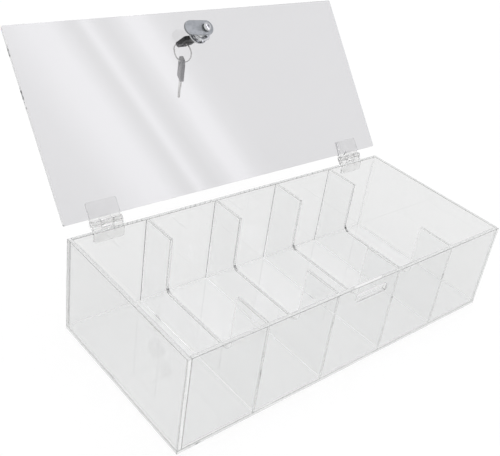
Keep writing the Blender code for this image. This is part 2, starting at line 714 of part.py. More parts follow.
def main():
    """Builds every piece in its place."""
    clear_scene()
    acrylic = make_material("clear_acrylic", (0.92, 0.93, 0.93), 0.02, clear=1.0)
    clear_plastic = make_material("clear_hinge_plastic", (0.90, 0.91, 0.91), 0.15, clear=0.8)
    chrome = make_material("chrome_plate", (0.78, 0.79, 0.80), 0.08, 1.0)
    brass = make_material("plug_brass", (0.72, 0.60, 0.38), 0.3, 1.0)
    zinc = make_material("zinc_plated_cam", (0.55, 0.57, 0.58), 0.4, 1.0)
    blade_steel = make_material("nickel_key_blade", (0.70, 0.70, 0.68), 0.25, 1.0)
    black_plastic = make_material("black_key_head", (0.02, 0.02, 0.022), 0.4)
    grey_plastic = make_material("grey_key_head", (0.22, 0.22, 0.22), 0.45)

    build_box(acrylic)
    build_dividers(acrylic)

    pin = Vector((0, PIN_Y, PIN_Z))
    opened = Matrix.Rotation(-math.radians(OPEN_DEGREES), 4, "X")
    shut = Matrix.Translation(pin) @ opened @ Matrix.Translation(-pin)
    lid_pivot = pivot("lid_axis", Matrix.Translation(pin) @ opened)
    build_lid(acrylic, shut, lid_pivot)
    build_hinge("left", HINGE_FROM_END - HALF_WIDTH, clear_plastic, shut, lid_pivot)
    build_hinge("right", HALF_WIDTH - HINGE_FROM_END, clear_plastic, shut, lid_pivot)

    lock_frame = shut @ Matrix.Translation((LOCK_OFFSET, LOCK_Y, LID_TOP))
    cam_frame = lock_frame @ Matrix.Rotation(math.radians(CAM_TILT_DEGREES), 4, "Z")
    build_lock_body(chrome, lock_frame, lid_pivot)
    lock_pivot = pivot("lock_axis", lock_frame, lid_pivot)
    build_plug(brass, lock_frame, cam_frame, lock_pivot)
    build_wafers(brass, lock_frame, lock_pivot)
    build_cam(zinc, chrome, cam_frame, lock_pivot)

    key_frame = lock_frame @ Matrix.Translation((0, 0, KEY_HOLE_HEIGHT))
    key_pivot = pivot("key_axis", key_frame, lock_pivot)
    build_key("key", blade_steel, black_plastic, key_frame, key_pivot)

    ring_frame = ring_frame_at(key_frame.translation)
    ring_pivot = pivot("ring_axis", ring_frame, key_pivot)
    build_ring(blade_steel, ring_frame, ring_pivot)

    spare_frame = spare_frame_at(ring_frame @ Vector((0, -RING_PITCH / 2, -2 * RING_RADIUS)))
    spare_pivot = pivot("spare_axis", spare_frame, ring_pivot)
    build_key("spare_key", blade_steel, grey_plastic, spare_frame, spare_pivot)


main()
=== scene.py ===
"""Looks for a clear acrylic cash tray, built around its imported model.

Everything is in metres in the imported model's frame: +X along the long side, +Y towards the hinges, +Z up.
"""
from __future__ import annotations

import json
import logging
import math
from collections.abc import Callable, Iterable, Sequence
from dataclasses import dataclass, field
from enum import Enum

import bmesh
import bpy
from mathutils import Matrix, Vector


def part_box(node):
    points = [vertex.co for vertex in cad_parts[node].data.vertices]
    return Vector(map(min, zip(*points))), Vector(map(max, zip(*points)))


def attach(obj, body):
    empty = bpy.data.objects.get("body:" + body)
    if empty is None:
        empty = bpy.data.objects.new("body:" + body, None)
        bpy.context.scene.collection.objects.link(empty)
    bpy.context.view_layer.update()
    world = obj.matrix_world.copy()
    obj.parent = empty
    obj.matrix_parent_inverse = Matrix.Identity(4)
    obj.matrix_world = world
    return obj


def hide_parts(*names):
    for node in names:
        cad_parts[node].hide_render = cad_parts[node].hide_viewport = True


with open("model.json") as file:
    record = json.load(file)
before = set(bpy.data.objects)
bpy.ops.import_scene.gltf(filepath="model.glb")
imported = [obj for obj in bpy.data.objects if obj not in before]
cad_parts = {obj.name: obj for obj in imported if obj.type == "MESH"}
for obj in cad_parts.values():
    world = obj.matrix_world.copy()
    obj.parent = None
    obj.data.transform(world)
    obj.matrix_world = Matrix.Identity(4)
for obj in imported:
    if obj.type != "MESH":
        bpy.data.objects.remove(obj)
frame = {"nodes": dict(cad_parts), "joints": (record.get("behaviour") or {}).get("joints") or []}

log = logging.getLogger("cash_tray")

PHOTO_WIDTH, PHOTO_HEIGHT = 500, 456
FULL_TURN = 2 * math.pi
SMALL = 0.000001
SHARP_DEGREES = 32.0
ACRYLIC_IOR = 1.49
PLASTIC_IOR = 1.46
WHITE = (1.0, 1.0, 1.0, 1.0)
UP = Vector((0.0, 0.0, 1.0))

# The key's hole above the lid along the lock's axis, and how the spare key hangs
KEY_HOLE_HEIGHT = 0.03
SPARE_HEADING_DEGREES = -25.0
SPARE_DROP = 0.0012

Colour = tuple[float, float, float]
Point = Sequence[float]
Piece = bpy.types.Object
Verts = list[bmesh.types.BMVert]


class Body(str, Enum):
    """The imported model's moving bodies."""

    BOX = "box"
    LID = "lid"
    LOCK = "lock"
    KEY = "key"
    RING = "ring"
    SPARE = "spare"


class Slot(str, Enum):
    """The names of the record's material slots for the finer pieces; they are passed along but not read."""

    HINGE = "clear_hinge_plastic"
    CHROME = "chrome_plate"
    ZINC = "zinc_plated_cam"
    NICKEL = "nickel_key_blade"
    BLACK = "black_key_head"
    GREY = "grey_key_head"


class Facing(Enum):
    """Which way a flat sheet's broad sides face on the object."""

    LEVEL = (0.0, 0.0, 1.0)
    SIDEWAYS = (1.0, 0.0, 0.0)
    FRONTWAYS = (0.0, 1.0, 0.0)
    LEANING = (0.0, 0.771625, -0.636078)


# Shader graphs


class Signal:
    """An output socket; Python's operators on it add Math nodes."""

    def __init__(self, graph: Graph, socket: bpy.types.NodeSocket) -> None:
        """Wraps a socket of a graph."""
        self.graph = graph
        self.socket = socket

    def maths(self, operation: str, *values: Signal | float) -> Signal:
        """Adds a Math node.

        Args:
            operation: The Math node's operation.
            values: Its inputs, in order.

        Returns:
            The node's value.
        """
        return self.graph.node("ShaderNodeMath", {"operation": operation}, dict(enumerate(values)))

    def __add__(self, other: Signal | float) -> Signal:
        """Adds two values."""
        return self.maths("ADD", self, other)

    def __radd__(self, other: float) -> Signal:
        """Adds a value to a number."""
        return self.maths("ADD", other, self)

    def __sub__(self, other: Signal | float) -> Signal:
        """Subtracts a value."""
        return self.maths("SUBTRACT", self, other)

    def __rsub__(self, other: float) -> Signal:
        """Subtracts from a number."""
        return self.maths("SUBTRACT", other, self)

    def __mul__(self, other: Signal | float) -> Signal:
        """Multiplies two values."""
        return self.maths("MULTIPLY", self, other)

    def __rmul__(self, other: float) -> Signal:
        """Multiplies a number by a value."""
        return self.maths("MULTIPLY", other, self)

    def __abs__(self) -> Signal:
        """The value without its sign."""
        return self.maths("ABSOLUTE", self)

    def __or__(self, other: Signal) -> Signal:
        """The larger of two masks."""
        return self.maths("MAXIMUM", self, other)

    def between(self, low: float, high: float) -> Signal:
        """Maps low..high to a smooth 0..1.

        Args:
            low: The value that gives 0.
            high: The value that gives 1.

        Returns:
            The smoothed mask.
        """
        inputs = {"Value": self, "From Min": low, "From Max": high}
        return self.graph.node("ShaderNodeMapRange", {"interpolation_type": "SMOOTHSTEP"}, inputs)


@dataclass(frozen=True)
class Grain:
    """A noise pattern: lumps per metre, octaves, stretch, and the levels between which it becomes a mask."""

    scale: float
    detail: float = 3.0
    stretch: Point = (1.0, 1.0, 1.0)
    kept: tuple[float, float] | None = None


class Graph:
    """The node tree of a material or a world."""

    def __init__(self, owner: bpy.types.Material | bpy.types.World) -> None:
        """Empties a tree to build in.

        Args:
            owner: The new material or world.
        """
        self.owner = owner
        owner.use_nodes = True
        self.tree = owner.node_tree
        self.tree.nodes.clear()

    def node(
        self,
        kind: str,
        settings: dict[str, object] | None = None,
        inputs: dict[str | int, object] | None = None,
        output: str | int = 0,
    ) -> Signal:
        """Adds a node of any kind.

        Args:
            kind: The node's type name.
            settings: Its properties, and a ramp's "stops", which are set first.
            inputs: Values or signals for its sockets, by name or number.
            output: The output socket wanted.

        Returns:
            That output as a signal.
        """
        made = self.tree.nodes.new(kind)
        for key, value in (settings or {}).items():
            if key == "stops":
                self._set_stops(made.color_ramp, value)
            else:
                setattr(made, key, value)
        for key, value in (inputs or {}).items():
            if isinstance(value, Signal):
                self.tree.links.new(value.socket, made.inputs[key])
            else:
                made.inputs[key].default_value = value
        return Signal(self, made.outputs[output] if made.outputs else None)

    @staticmethod
    def _set_stops(ramp: bpy.types.ColorRamp, stops: Sequence[tuple[float, Colour]]) -> None:
        """Puts a ramp's stops in place of its two first ones.

        Args:
            ramp: The ramp.
            stops: Each stop's place and colour.
        """
        while len(ramp.elements) < len(stops):
            ramp.elements.new(1.0)
        for element, (position, colour) in zip(ramp.elements, stops):
            element.position = position
            element.color = (*colour, 1.0)

    def ray(self, kind: str) -> Signal:
        """1 for rays of one kind, such as Shadow."""
        return self.node("ShaderNodeLightPath", output=f"Is {kind} Ray")

    def along(self, vector: Signal, direction: Point) -> Signal:
        """How far a vector reaches along a direction."""
        inputs = {0: vector, 1: tuple(direction)}
        return self.node("ShaderNodeVectorMath", {"operation": "DOT_PRODUCT"}, inputs, "Value")

    def place(self, stretch: Point = (1.0, 1.0, 1.0)) -> Signal:
        """Object coordinates, stretched along each axis."""
        found = self.node("ShaderNodeTexCoord", output="Object")
        return self.node("ShaderNodeMapping", None, {"Vector": found, "Scale": tuple(stretch)})

    def noise(self, grain: Grain) -> Signal:
        """Noise from 0 to 1, or the mask that its grain keeps.

        Args:
            grain: The pattern.

        Returns:
            The noise or its mask.
        """
        inputs = {"Vector": self.place(grain.stretch), "Scale": grain.scale, "Detail": grain.detail}
        found = self.node("ShaderNodeTexNoise", None, inputs)
        return found.between(*grain.kept) if grain.kept else found

    def blend(self, mask: Signal | float, first: Signal | Colour, second: Signal | Colour) -> Signal:
        """Mixes two colours.

        Args:
            mask: 0 for the first colour, 1 for the second.
            first: A colour or a colour signal.
            second: A colour or a colour signal.

        Returns:
            The mixed colour.
        """
        sides = [value if isinstance(value, Signal) else (*value, 1.0) for value in (first, second)]
        settings = {"data_type": "RGBA"}
        return self.node("ShaderNodeMix", settings, {0: mask, 6: sides[0], 7: sides[1]}, 2)

    def bump(self, height: Signal, strength: float, distance: float) -> Signal:
        """Turns a height into a normal.

        Args:
            height: The height, 0 to 1.
            strength: How much of it shows.
            distance: The height of 1, in metres.

        Returns:
            The normal.
        """
        inputs = {"Height": height, "Strength": strength, "Distance": distance}
        return self.node("ShaderNodeBump", None, inputs)

    def surface(
        self, colour: Signal, roughness: Signal, normal: Signal, others: dict[str, object] | None = None
    ) -> Signal:
        """Adds a Principled shader.

        Args:
            colour: Its base colour.
            roughness: Its roughness.
            normal: Its normal.
            others: Values or signals for its other sockets.

        Returns:
            The shader.
        """
        inputs = {"Base Color": colour, "Roughness": roughness, "Normal": normal}
        return self.node("ShaderNodeBsdfPrincipled", None, inputs | (others or {}))

    def pale_shadow(self, shader: Signal, tint: Colour) -> Signal:
        """Lets a clear shader cast a tinted shadow instead of a black one.

        Args:
            shader: The shader.
            tint: What its shadow lets through.

        Returns:
            The mixed shader.
        """
        passing = self.node("ShaderNodeBsdfTransparent", None, {"Color": (*tint, 1.0)})
        return self.node("ShaderNodeMixShader", None, {0: self.ray("Shadow"), 1: shader, 2: passing})

    def finish(self, shader: Signal) -> bpy.types.Material | bpy.types.World:
        """Joins a shader to the output.

        Args:
            shader: The surface shader.

        Returns:
            The finished material or world.
        """
        kind = "World" if isinstance(self.owner, bpy.types.World) else "Material"
        self.node(f"ShaderNodeOutput{kind}", None, {"Surface": shader})
        return self.owner


def dimmed(colour: Colour, share: float) -> Colour:
    """A colour times a share."""
    return tuple(channel * share for channel in colour)


# Finishes


@dataclass(frozen=True)
class Seams:
    """Dark beads of cement on a sheet's face, each beside a sheet that meets it."""

    first: float
    spacing: float
    depth: float
    start: float = 0.0015
    width: float = 0.0005
    fade: float = 0.0001
    tone: Colour = (0.10, 0.102, 0.102)

    def mask(self, graph: Graph, depth: Signal) -> Signal:
        """Where the beads lie.

        Args:
            graph: The sheet's graph.
            depth: How far along the sheet's facing a point lies.

        Returns:
            1 on a bead and 0 beside it.
        """
        across = graph.along(graph.place(), Facing.SIDEWAYS.value)
        beside = across.maths("WRAP", across - self.first, self.spacing / 2, -self.spacing / 2)
        end = -self.start - self.width
        past = beside.between(-self.start, self.fade - self.start)
        bead = beside.between(end, end + self.fade) * (1.0 - past)
        return bead * (1.0 - abs(depth - self.depth).between(self.fade, self.fade * 2))


@dataclass(frozen=True)
class ClearSheet:
    """Clear cast acrylic sheet with polished broad sides and sawn, flamed edges; its arrises and a line down
    each rim carry painted shade.
    """

    name: str
    facing: Facing
    face: Colour = (0.925, 0.927, 0.926)
    rim: Colour = (0.94, 0.945, 0.94)
    # painted shade: the arrises' tint stands in for the dark edges that refraction shows, not a colour of the
    # acrylic
    painted_edge_shade: Colour = (0.62, 0.63, 0.62)
    thickness: float = 0.0038
    first: float = 0.0
    spacing: float = 1.0
    # width of the painted shade line down each rim's middle, and where it fades
    line: float = 0.0006
    line_ends: tuple[float, float] = (1.3, 0.7)
    edge_on: tuple[float, float] = (0.02, 0.1)
    face_on: tuple[float, float] = (0.93, 0.99)
    cloud: Grain = Grain(9.0, 2.0)
    hairlines: Grain = Grain(160.0, 4.0, (1.0, 0.07, 0.3), (0.66, 0.74))
    smears: Grain = Grain(38.0, 5.0, (1.0, 0.35, 1.0), (0.5, 0.75))
    saw: Grain = Grain(2600.0, 2.0, (1.0, 1.0, 0.05))
    cloud_tone: float = 0.985
    saw_tone: float = 0.94
    gloss: float = 0.004
    wear: float = 0.05
    smear_share: float = 0.3
    sawn: tuple[float, float] = (0.02, 0.04)
    saw_height: float = 0.03
    relief: float = 0.35
    ripple: float = 0.00012
    shade: Colour = (0.95, 0.955, 0.953)
    seams: Seams | None = None

    def make(self) -> bpy.types.Material:
        """Builds the sheet's material: rims and arrises are told by their normals, and a painted dark line on
        the arrises and down each rim's middle stands in for the shade that refraction shows at a clear
        sheet's edges.

        Returns:
            The material.
        """
        graph = Graph(bpy.data.materials.new(self.name))
        normal = graph.node("ShaderNodeTexCoord", output="Normal")
        flatness = abs(graph.along(normal, self.facing.value))
        tilted = flatness.between(*self.edge_on)
        on_rim = 1.0 - tilted
        on_arris = (1.0 - flatness.between(*self.face_on)) * tilted
        depth = graph.along(graph.place(), self.facing.value)
        from_middle = depth.maths("PINGPONG", depth - self.first, self.spacing / 2)
        ends = (self.thickness / 2 - self.line * share for share in self.line_ends)
        # painted shade: a dark line on the arrises and down the middle of each rim
        painted_shade_line = on_arris | (on_rim * from_middle.between(*ends))

        grains = (self.cloud, self.hairlines, self.smears, self.saw)
        cloud, hairlines, smears, saw = (graph.noise(grain) for grain in grains)
        face = graph.blend(cloud, self.face, dimmed(self.face, self.cloud_tone))
        rim = graph.blend(saw, self.rim, dimmed(self.rim, self.saw_tone))
        # the painted shade line takes the dark edge-shade colour over the face and rim tints
        colour = graph.blend(painted_shade_line, graph.blend(on_rim, face, rim), self.painted_edge_shade)
        roughness = self.gloss + hairlines * self.wear + smears * (self.wear * self.smear_share)
        roughness = roughness + on_rim * (self.sawn[0] + saw * self.sawn[1])
        height = cloud + on_rim * saw * self.saw_height
        others: dict[str, Signal | float] = {"IOR": ACRYLIC_IOR, "Transmission Weight": 1.0}
        if self.seams:
            others["Metallic"] = self.seams.mask(graph, depth)
            colour = graph.blend(others["Metallic"], colour, self.seams.tone)
        shader = graph.surface(colour, roughness, graph.bump(height, self.relief, self.ripple), others)
        return graph.finish(graph.pale_shadow(shader, self.shade))


@dataclass(frozen=True)
class MouldedClear:
    """Clear moulded hinge plastic: a little milky, with flow marks and a soft satin skin."""

    name: str
    tone: Colour
    roughness: float
    clearness: float
    flow: Grain = Grain(210.0, 4.0, (1.0, 0.4, 0.4))
    pits: Grain = Grain(2400.0, 2.0)
    flow_tone: float = 0.9
    flow_rough: float = 0.12
    pit_rough: float = 0.04
    pit_share: float = 0.2
    relief: float = 0.5
    ripple: float = 0.00012
    shade: Colour = (0.8, 0.8, 0.8)

    def make(self) -> bpy.types.Material:
        """Builds the hinge plastic's material.

        Returns:
            The material.
        """
        graph = Graph(bpy.data.materials.new(self.name))
        flow, pits = graph.noise(self.flow), graph.noise(self.pits)
        colour = graph.blend(flow, self.tone, dimmed(self.tone, self.flow_tone))
        roughness = self.roughness + flow * self.flow_rough + pits * self.pit_rough
        normal = graph.bump(flow + pits * self.pit_share, self.relief, self.ripple)
        others = {"IOR": ACRYLIC_IOR, "Transmission Weight": self.clearness}
        return graph.finish(graph.pale_shadow(graph.surface(colour, roughness, normal, others), self.shade))


@dataclass(frozen=True)
class Metal:
    """A plated or bare metal with a fine lay, smudges and small dents."""

    name: str
    tone: Colour
    dull: Colour
    roughness: float
    lay: Grain = Grain(900.0, 4.0)
    spread: float = 0.12
    ripple: float = 0.00001
    smudge: Grain = Grain(260.0, 3.0, kept=(0.42, 0.68))
    dents: Grain = Grain(1900.0, 2.0, kept=(0.7, 0.8))
    smudge_dulls: float = 0.6
    lay_dulls: float = 0.3
    smudge_share: float = 0.5
    dent_depth: float = 0.4
    relief: float = 0.3

    def make(self) -> bpy.types.Material:
        """Builds the metal's material.

        Returns:
            The material.
        """
        graph = Graph(bpy.data.materials.new(self.name))
        lay, smudge, dents = (graph.noise(grain) for grain in (self.lay, self.smudge, self.dents))
        colour = graph.blend(smudge * self.smudge_dulls + lay * self.lay_dulls, self.tone, self.dull)
        roughness = self.roughness + lay * self.spread + smudge * (self.spread * self.smudge_share)
        normal = graph.bump(lay - dents * self.dent_depth, self.relief, self.ripple)
        return graph.finish(graph.surface(colour, roughness, normal, {"Metallic": 1.0}))


@dataclass(frozen=True)
class Moulded:
    """Opaque moulded plastic with a fine spark-eroded grain, rubbed smoother where fingers hold it."""

    name: str
    tone: Colour
    worn: Colour
    roughness: float
    grain: Grain = Grain(3800.0, 3.0)
    rubbed: Grain = Grain(170.0, 3.0, kept=(0.45, 0.7))
    rub_pales: float = 0.5
    grain_pales: float = 0.25
    grain_rough: float = 0.12
    rub_smooths: float = 0.08
    relief: float = 0.4
    ripple: float = 0.00003

    def make(self) -> bpy.types.Material:
        """Builds the plastic's material.

        Returns:
            The material.
        """
        graph = Graph(bpy.data.materials.new(self.name))
        grain, rubbed = graph.noise(self.grain), graph.noise(self.rubbed)
        colour = graph.blend(rubbed * self.rub_pales + grain * self.grain_pales, self.tone, self.worn)
        roughness = self.roughness + grain * self.grain_rough - rubbed * self.rub_smooths
        normal = graph.bump(grain, self.relief, self.ripple)
        return graph.finish(graph.surface(colour, roughness, normal, {"IOR": PLASTIC_IOR}))


Finish = ClearSheet | MouldedClear | Metal | Moulded


def middle_depth(node: str, facing: Facing) -> float:
    """How far along a facing a flat sheet's middle lies, from its packed corners.

    Args:
        node: The sheet's node.
        facing: The facing.

    Returns:
        The middle's distance from the origin.
    """
    spots = [Vector(vert.co) for vert in frame["nodes"][node].data.vertices]
    depths = [spot.dot(Vector(facing.value)) for spot in spots]
    return (min(depths) + max(depths)) / 2


class Palette:
    """The finishes of the tray, each made once."""

    # A sheet's third colour is painted shade for its arrises and rim lines.
    LID_SHEET = ClearSheet(
        "lid_sheet", Facing.LEANING, (0.80, 0.797, 0.81), (0.93, 0.935, 0.935), (0.82, 0.825, 0.83),
        thickness=0.003, first=middle_depth("lid_panel", Facing.LEANING), wear=0.012,
    )
    BASE_SHEET = ClearSheet("base_sheet", Facing.LEVEL, (0.96, 0.962, 0.962), first=0.0019)
    SIDE_SHEET = ClearSheet(
        "side_sheet", Facing.SIDEWAYS, rim=(0.985, 0.985, 0.985), painted_edge_shade=(0.50, 0.51, 0.50),
        first=0.1941, spacing=0.3882, line=0.0004,
    )
    DIVIDER_SHEET = ClearSheet(
        "divider_sheet", Facing.SIDEWAYS, (0.972, 0.974, 0.974), (0.985, 0.985, 0.985), (0.64, 0.65, 0.64),
        thickness=0.003, first=0.0392, spacing=0.0784,
    )
    FRONT_SHEET = ClearSheet(
        "front_sheet", Facing.FRONTWAYS, rim=(0.995, 0.995, 0.995), painted_edge_shade=(0.42, 0.43, 0.42),
        first=0.0876, spacing=0.1752, line=0.0004, seams=Seams(0.0392, 0.0784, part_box("back_wall")[0].y),
    )
    HINGE = MouldedClear("hinge_plastic", (0.985, 0.985, 0.98), 0.10, 0.97)
    CHROME = Metal("chrome", (0.66, 0.67, 0.68), (0.52, 0.53, 0.54), 0.07, spread=0.07)
    BRASS = Metal("brass", (0.80, 0.67, 0.42), (0.66, 0.53, 0.31), 0.22)
    ZINC = Metal(
        "zinc_plate", (0.315, 0.331, 0.339), (0.276, 0.290, 0.297), 0.38,
        Grain(700.0, 4.0, (1.0, 0.08, 1.0)), 0.14, 0.00002,
    )
    NICKEL = Metal(
        "nickel_plate", (0.74, 0.735, 0.71), (0.60, 0.59, 0.56), 0.16, Grain(1200.0, 4.0, (1.0, 1.0, 0.06)),
    )
    WIRE = Metal("ring_wire", (0.70, 0.70, 0.68), (0.55, 0.55, 0.53), 0.14)
    BLACK = Moulded("black_moulding", (0.008, 0.008, 0.009), (0.02, 0.02, 0.021), 0.45)
    GREY = Moulded("grey_moulding", (0.20, 0.20, 0.20), (0.26, 0.26, 0.26), 0.44)

    def __init__(self) -> None:
        """Starts with nothing made."""
        self.made: dict[str, bpy.types.Material] = {}

    def material(self, finish: Finish) -> bpy.types.Material:
        """The material of a finish, made when first asked for.

        Args:
            finish: The finish.

        Returns:
            Its material.
        """
        if finish.name not in self.made:
            self.made[finish.name] = finish.make()
        return self.made[finish.name]

    def dress(self, node: str, finish: Finish) -> None:
        """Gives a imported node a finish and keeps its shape.

        Args:
            node: The node's name.
            finish: What it is to look like.
        """
        piece = frame["nodes"][node]
        piece.data.materials.clear()
        piece.data.materials.append(self.material(finish))
        log.info("%s dressed as %s", node, finish.name)


# Shapes


def around(radius: float, angle: float, centre: Point = (0.0, 0.0)) -> Vector:
    """The point of a level circle at an angle in radians."""
    return Vector((centre[0] + radius * math.cos(angle), centre[1] + radius * math.sin(angle), 0.0))


def ring_of(radius: float, steps: int) -> list[Vector]:
    """The points of a level circle, anticlockwise."""
    return [around(radius, FULL_TURN * step / steps) for step in range(steps)]


def arc_of(radius: float, centre: Point, start: float, end: float, steps: int) -> list[Vector]:
    """Points of a level arc.

    Args:
        radius: The arc's radius.
        centre: Its centre, x and y.
        start: Its first angle, in degrees.
        end: Its last angle, in degrees.
        steps: How many spans.

    Returns:
        The points from start to end.
    """
    turns = (math.radians(start + (end - start) * step / steps) for step in range(steps + 1))
    return [around(radius, turn, centre) for turn in turns]


def rectangle(left: float, bottom: float, right: float, top: float) -> list[tuple[float, float]]:
    """A rectangle's corners, anticlockwise from its lower left."""
    return [(left, bottom), (right, bottom), (right, top), (left, top)]


def smoothed(data: bpy.types.Mesh, least: float = SHARP_DEGREES) -> bpy.types.Mesh:
    """Shades a mesh smooth.

    Args:
        data: The mesh.
        least: The least angle left sharp, in degrees.

    Returns:
        The mesh.
    """
    data.shade_smooth()
    data.set_sharp_from_angle(angle=math.radians(least))
    return data


def linked(name: str, data: bpy.types.ID) -> Piece:
    """Puts a new object on the scene.

    Args:
        name: Its name.
        data: Its mesh, curve, light or camera.

    Returns:
        The object.
    """
    made = bpy.data.objects.new(name, data)
    bpy.context.scene.collection.objects.link(made)
    return made


def evaluated(piece: Piece) -> bpy.types.Mesh:
    """A new mesh of a curve, or of a piece with its modifiers applied."""
    bpy.context.view_layer.update()
    return bpy.data.meshes.new_from_object(piece.evaluated_get(bpy.context.evaluated_depsgraph_get()))


def softened(corners: Sequence[Point], radius: float, steps: int = 6) -> list[Vector]:
    """A closed outline with rounded corners.

    Args:
        corners: The outline's corners, x and y.
        radius: The corners' radius.
        steps: How many spans round each corner.

    Returns:
        The outline's points.
    """
    points = []
    for index, corner in enumerate(corners):
        here = Vector((corner[0], corner[1], 0.0))
        before = (Vector((*corners[index - 1], 0.0)) - here).normalized()
        after = (Vector((*corners[(index + 1) % len(corners)], 0.0)) - here).normalized()
        half = before.angle(after) / 2
        centre = here + (before + after).normalized() * radius / math.sin(half)
        first = here + before * radius / math.tan(half) - centre
        last = here + after * radius / math.tan(half) - centre
        points += [centre + radius * first.slerp(last, step / steps) for step in range(steps + 1)]
    return points


class Form:
    """A shape in the making, with the few moves that the pieces share."""

    def __init__(self) -> None:
        """Starts an empty bmesh."""
        self.mesh = bmesh.new()

    def loop(self, points: Iterable[Vector]) -> Verts:
        """Draws a closed loop of edges.

        Args:
            points: The loop's points, in order.

        Returns:
            Its vertices.
        """
        verts = [self.mesh.verts.new(point) for point in points]
        for first, second in zip(verts, verts[1:] + verts[:1]):
            self.mesh.edges.new((first, second))
        return verts

    def edges(self, verts: Verts) -> list[bmesh.types.BMEdge]:
        """The edges of a closed loop."""
        return [self.mesh.edges.get(pair) for pair in zip(verts, verts[1:] + verts[:1])]

    def grow(self, verts: Verts, points: Sequence[Vector]) -> Verts:
        """Extrudes a loop to new points.

        Args:
            verts: The loop's vertices.
            points: Where its extruded copy goes, in the same order.

        Returns:
            The copy's vertices.
        """
        made = bmesh.ops.extrude_edge_only(self.mesh, edges=self.edges(verts))["geom"]
        fresh = [item for item in made if isinstance(item, bmesh.types.BMVert)]
        old = set(verts)
        partner = {}
        for vert in fresh:
            beside = (edge.other_vert(vert) for edge in vert.link_edges)
            partner[next(other for other in beside if other in old)] = vert
        grown = [partner[vert] for vert in verts]
        for vert, point in zip(grown, points):
            vert.co = point
        return grown

    def stack(self, loops: Sequence[Sequence[Vector]], closed: bool) -> Form:
        """Skins a stack of loops of equal count.

        Args:
            loops: The loops, each next to the last.
            closed: Whether the last meets the first; otherwise both ends are capped.

        Returns:
            This form.
        """
        first = self.loop(loops[0])
        last = first
        for points in list(loops[1:]) + ([loops[0]] if closed else []):
            last = self.grow(last, points)
        if not closed:
            for end in (first, last):
                bmesh.ops.contextual_create(self.mesh, geom=end)
        return self.welded()

    def slab(self, outlines: Sequence[Sequence[Vector]], low: float, high: float) -> Form:
        """Fills flat outlines, the later ones as holes, and gives them thickness.

        Args:
            outlines: Closed outlines in the local XY plane.
            low: The lower face's height.
            high: The upper face's height.

        Returns:
            This form.
        """
        edges = []
        for outline in outlines:
            edges += self.edges(self.loop([Vector((point.x, point.y, low)) for point in outline]))
        filled = bmesh.ops.triangle_fill(self.mesh, edges=edges, use_beauty=True, use_dissolve=True)["geom"]
        faces = [item for item in filled if isinstance(item, bmesh.types.BMFace)]
        raised = bmesh.ops.extrude_face_region(self.mesh, geom=faces)["geom"]
        verts = [item for item in raised if isinstance(item, bmesh.types.BMVert)]
        bmesh.ops.translate(self.mesh, vec=(0.0, 0.0, high - low), verts=verts)
        return self.welded()

    def turned(self, profile: Sequence[tuple[float, float]], steps: int, closed: bool = False) -> Form:
        """Spins a profile of radius and height about the local Z axis.

        Args:
            profile: Radius and height, along the outline.
            steps: How many steps round.
            closed: Whether the profile's ends meet.

        Returns:
            This form.
        """
        verts = [self.mesh.verts.new((radius, 0.0, height)) for radius, height in profile]
        pairs = list(zip(verts, verts[1:])) + ([(verts[-1], verts[0])] if closed else [])
        edges = [self.mesh.edges.new(pair) for pair in pairs]
        bmesh.ops.spin(
            self.mesh, geom=verts + edges, cent=(0, 0, 0), axis=(0, 0, 1), dvec=(0, 0, 0),
            angle=FULL_TURN, steps=steps, use_merge=True,
        )
        return self.welded()

    def welded(self) -> Form:
        """Merges doubles and turns the faces outwards.

        Returns:
            This form.
        """
        bmesh.ops.remove_doubles(self.mesh, verts=self.mesh.verts, dist=SMALL)
        bmesh.ops.recalc_face_normals(self.mesh, faces=self.mesh.faces)
        return self

    def eased(self, width: float, segments: int = 2, least: float = 40.0) -> Form:
        """Rounds the edges that are sharper than an angle.

        Args:
            width: The rounding's width.
            segments: How many segments it has.
            least: The least angle rounded, in degrees.

        Returns:
            This form.
        """
        limit = math.radians(least)
        sharp = [edge for edge in self.mesh.edges if edge.is_manifold and edge.calc_face_angle() > limit]
        bmesh.ops.bevel(
            self.mesh, geom=sharp, offset=width, segments=segments, profile=0.5, affect="EDGES",
            material=-1, clamp_overlap=True,
        )
        return self

    def shaped(self, change: Callable[[Vector], Vector]) -> Form:
        """Moves every vertex by a rule.

        Args:
            change: Gives a vertex's new place from its old one.

        Returns:
            This form.
        """
        for vert in self.mesh.verts:
            vert.co = change(vert.co)
        return self

    def placed(self, name: str, where: Matrix, least: float = SHARP_DEGREES) -> Piece:
        """Turns the form into an object whose place is in its mesh.

        Args:
            name: The object's name.
            where: The form's frame on the object.
            least: The least angle left sharp, in degrees.

        Returns:
            The object, at the origin.
        """
        bmesh.ops.transform(self.mesh, matrix=where, verts=self.mesh.verts)
        data = bpy.data.meshes.new(name)
        self.mesh.to_mesh(data)
        self.mesh.free()
        return linked(name, smoothed(data, least))


def combined(piece: Piece, tools: Sequence[Piece], how: str) -> Piece:
    """Joins tools to a piece, or cuts them out of it, and removes them.

    Args:
        piece: The piece to change.
        tools: The shapes to use.
        how: The Boolean's operation.

    Returns:
        The piece, with its new mesh.
    """
    for tool in tools:
        step = piece.modifiers.new(tool.name, "BOOLEAN")
        step.operation = how
        step.solver = "EXACT"
        step.object = tool
    data = evaluated(piece)
    piece.modifiers.clear()
    piece.data = smoothed(data)
    for tool in tools:
        bpy.data.objects.remove(tool, do_unlink=True)
    return piece


def axes(origin: Point, x_axis: Point, y_axis: Point, z_axis: Point) -> Matrix:
    """A frame from an origin and three axes.

    Args:
        origin: The frame's origin.
        x_axis: Its X axis.
        y_axis: Its Y axis.
        z_axis: Its Z axis.

    Returns:
        The frame's matrix.
    """
    turn = Matrix((x_axis, y_axis, z_axis)).transposed().to_4x4()
    return Matrix.Translation(origin) @ turn


UPRIGHT = axes((0, 0, 0), (1, 0, 0), (0, 0, 1), (0, -1, 0))
SIDEWAYS = axes((0, 0, 0), (0, 1, 0), (0, 0, 1), (1, 0, 0))


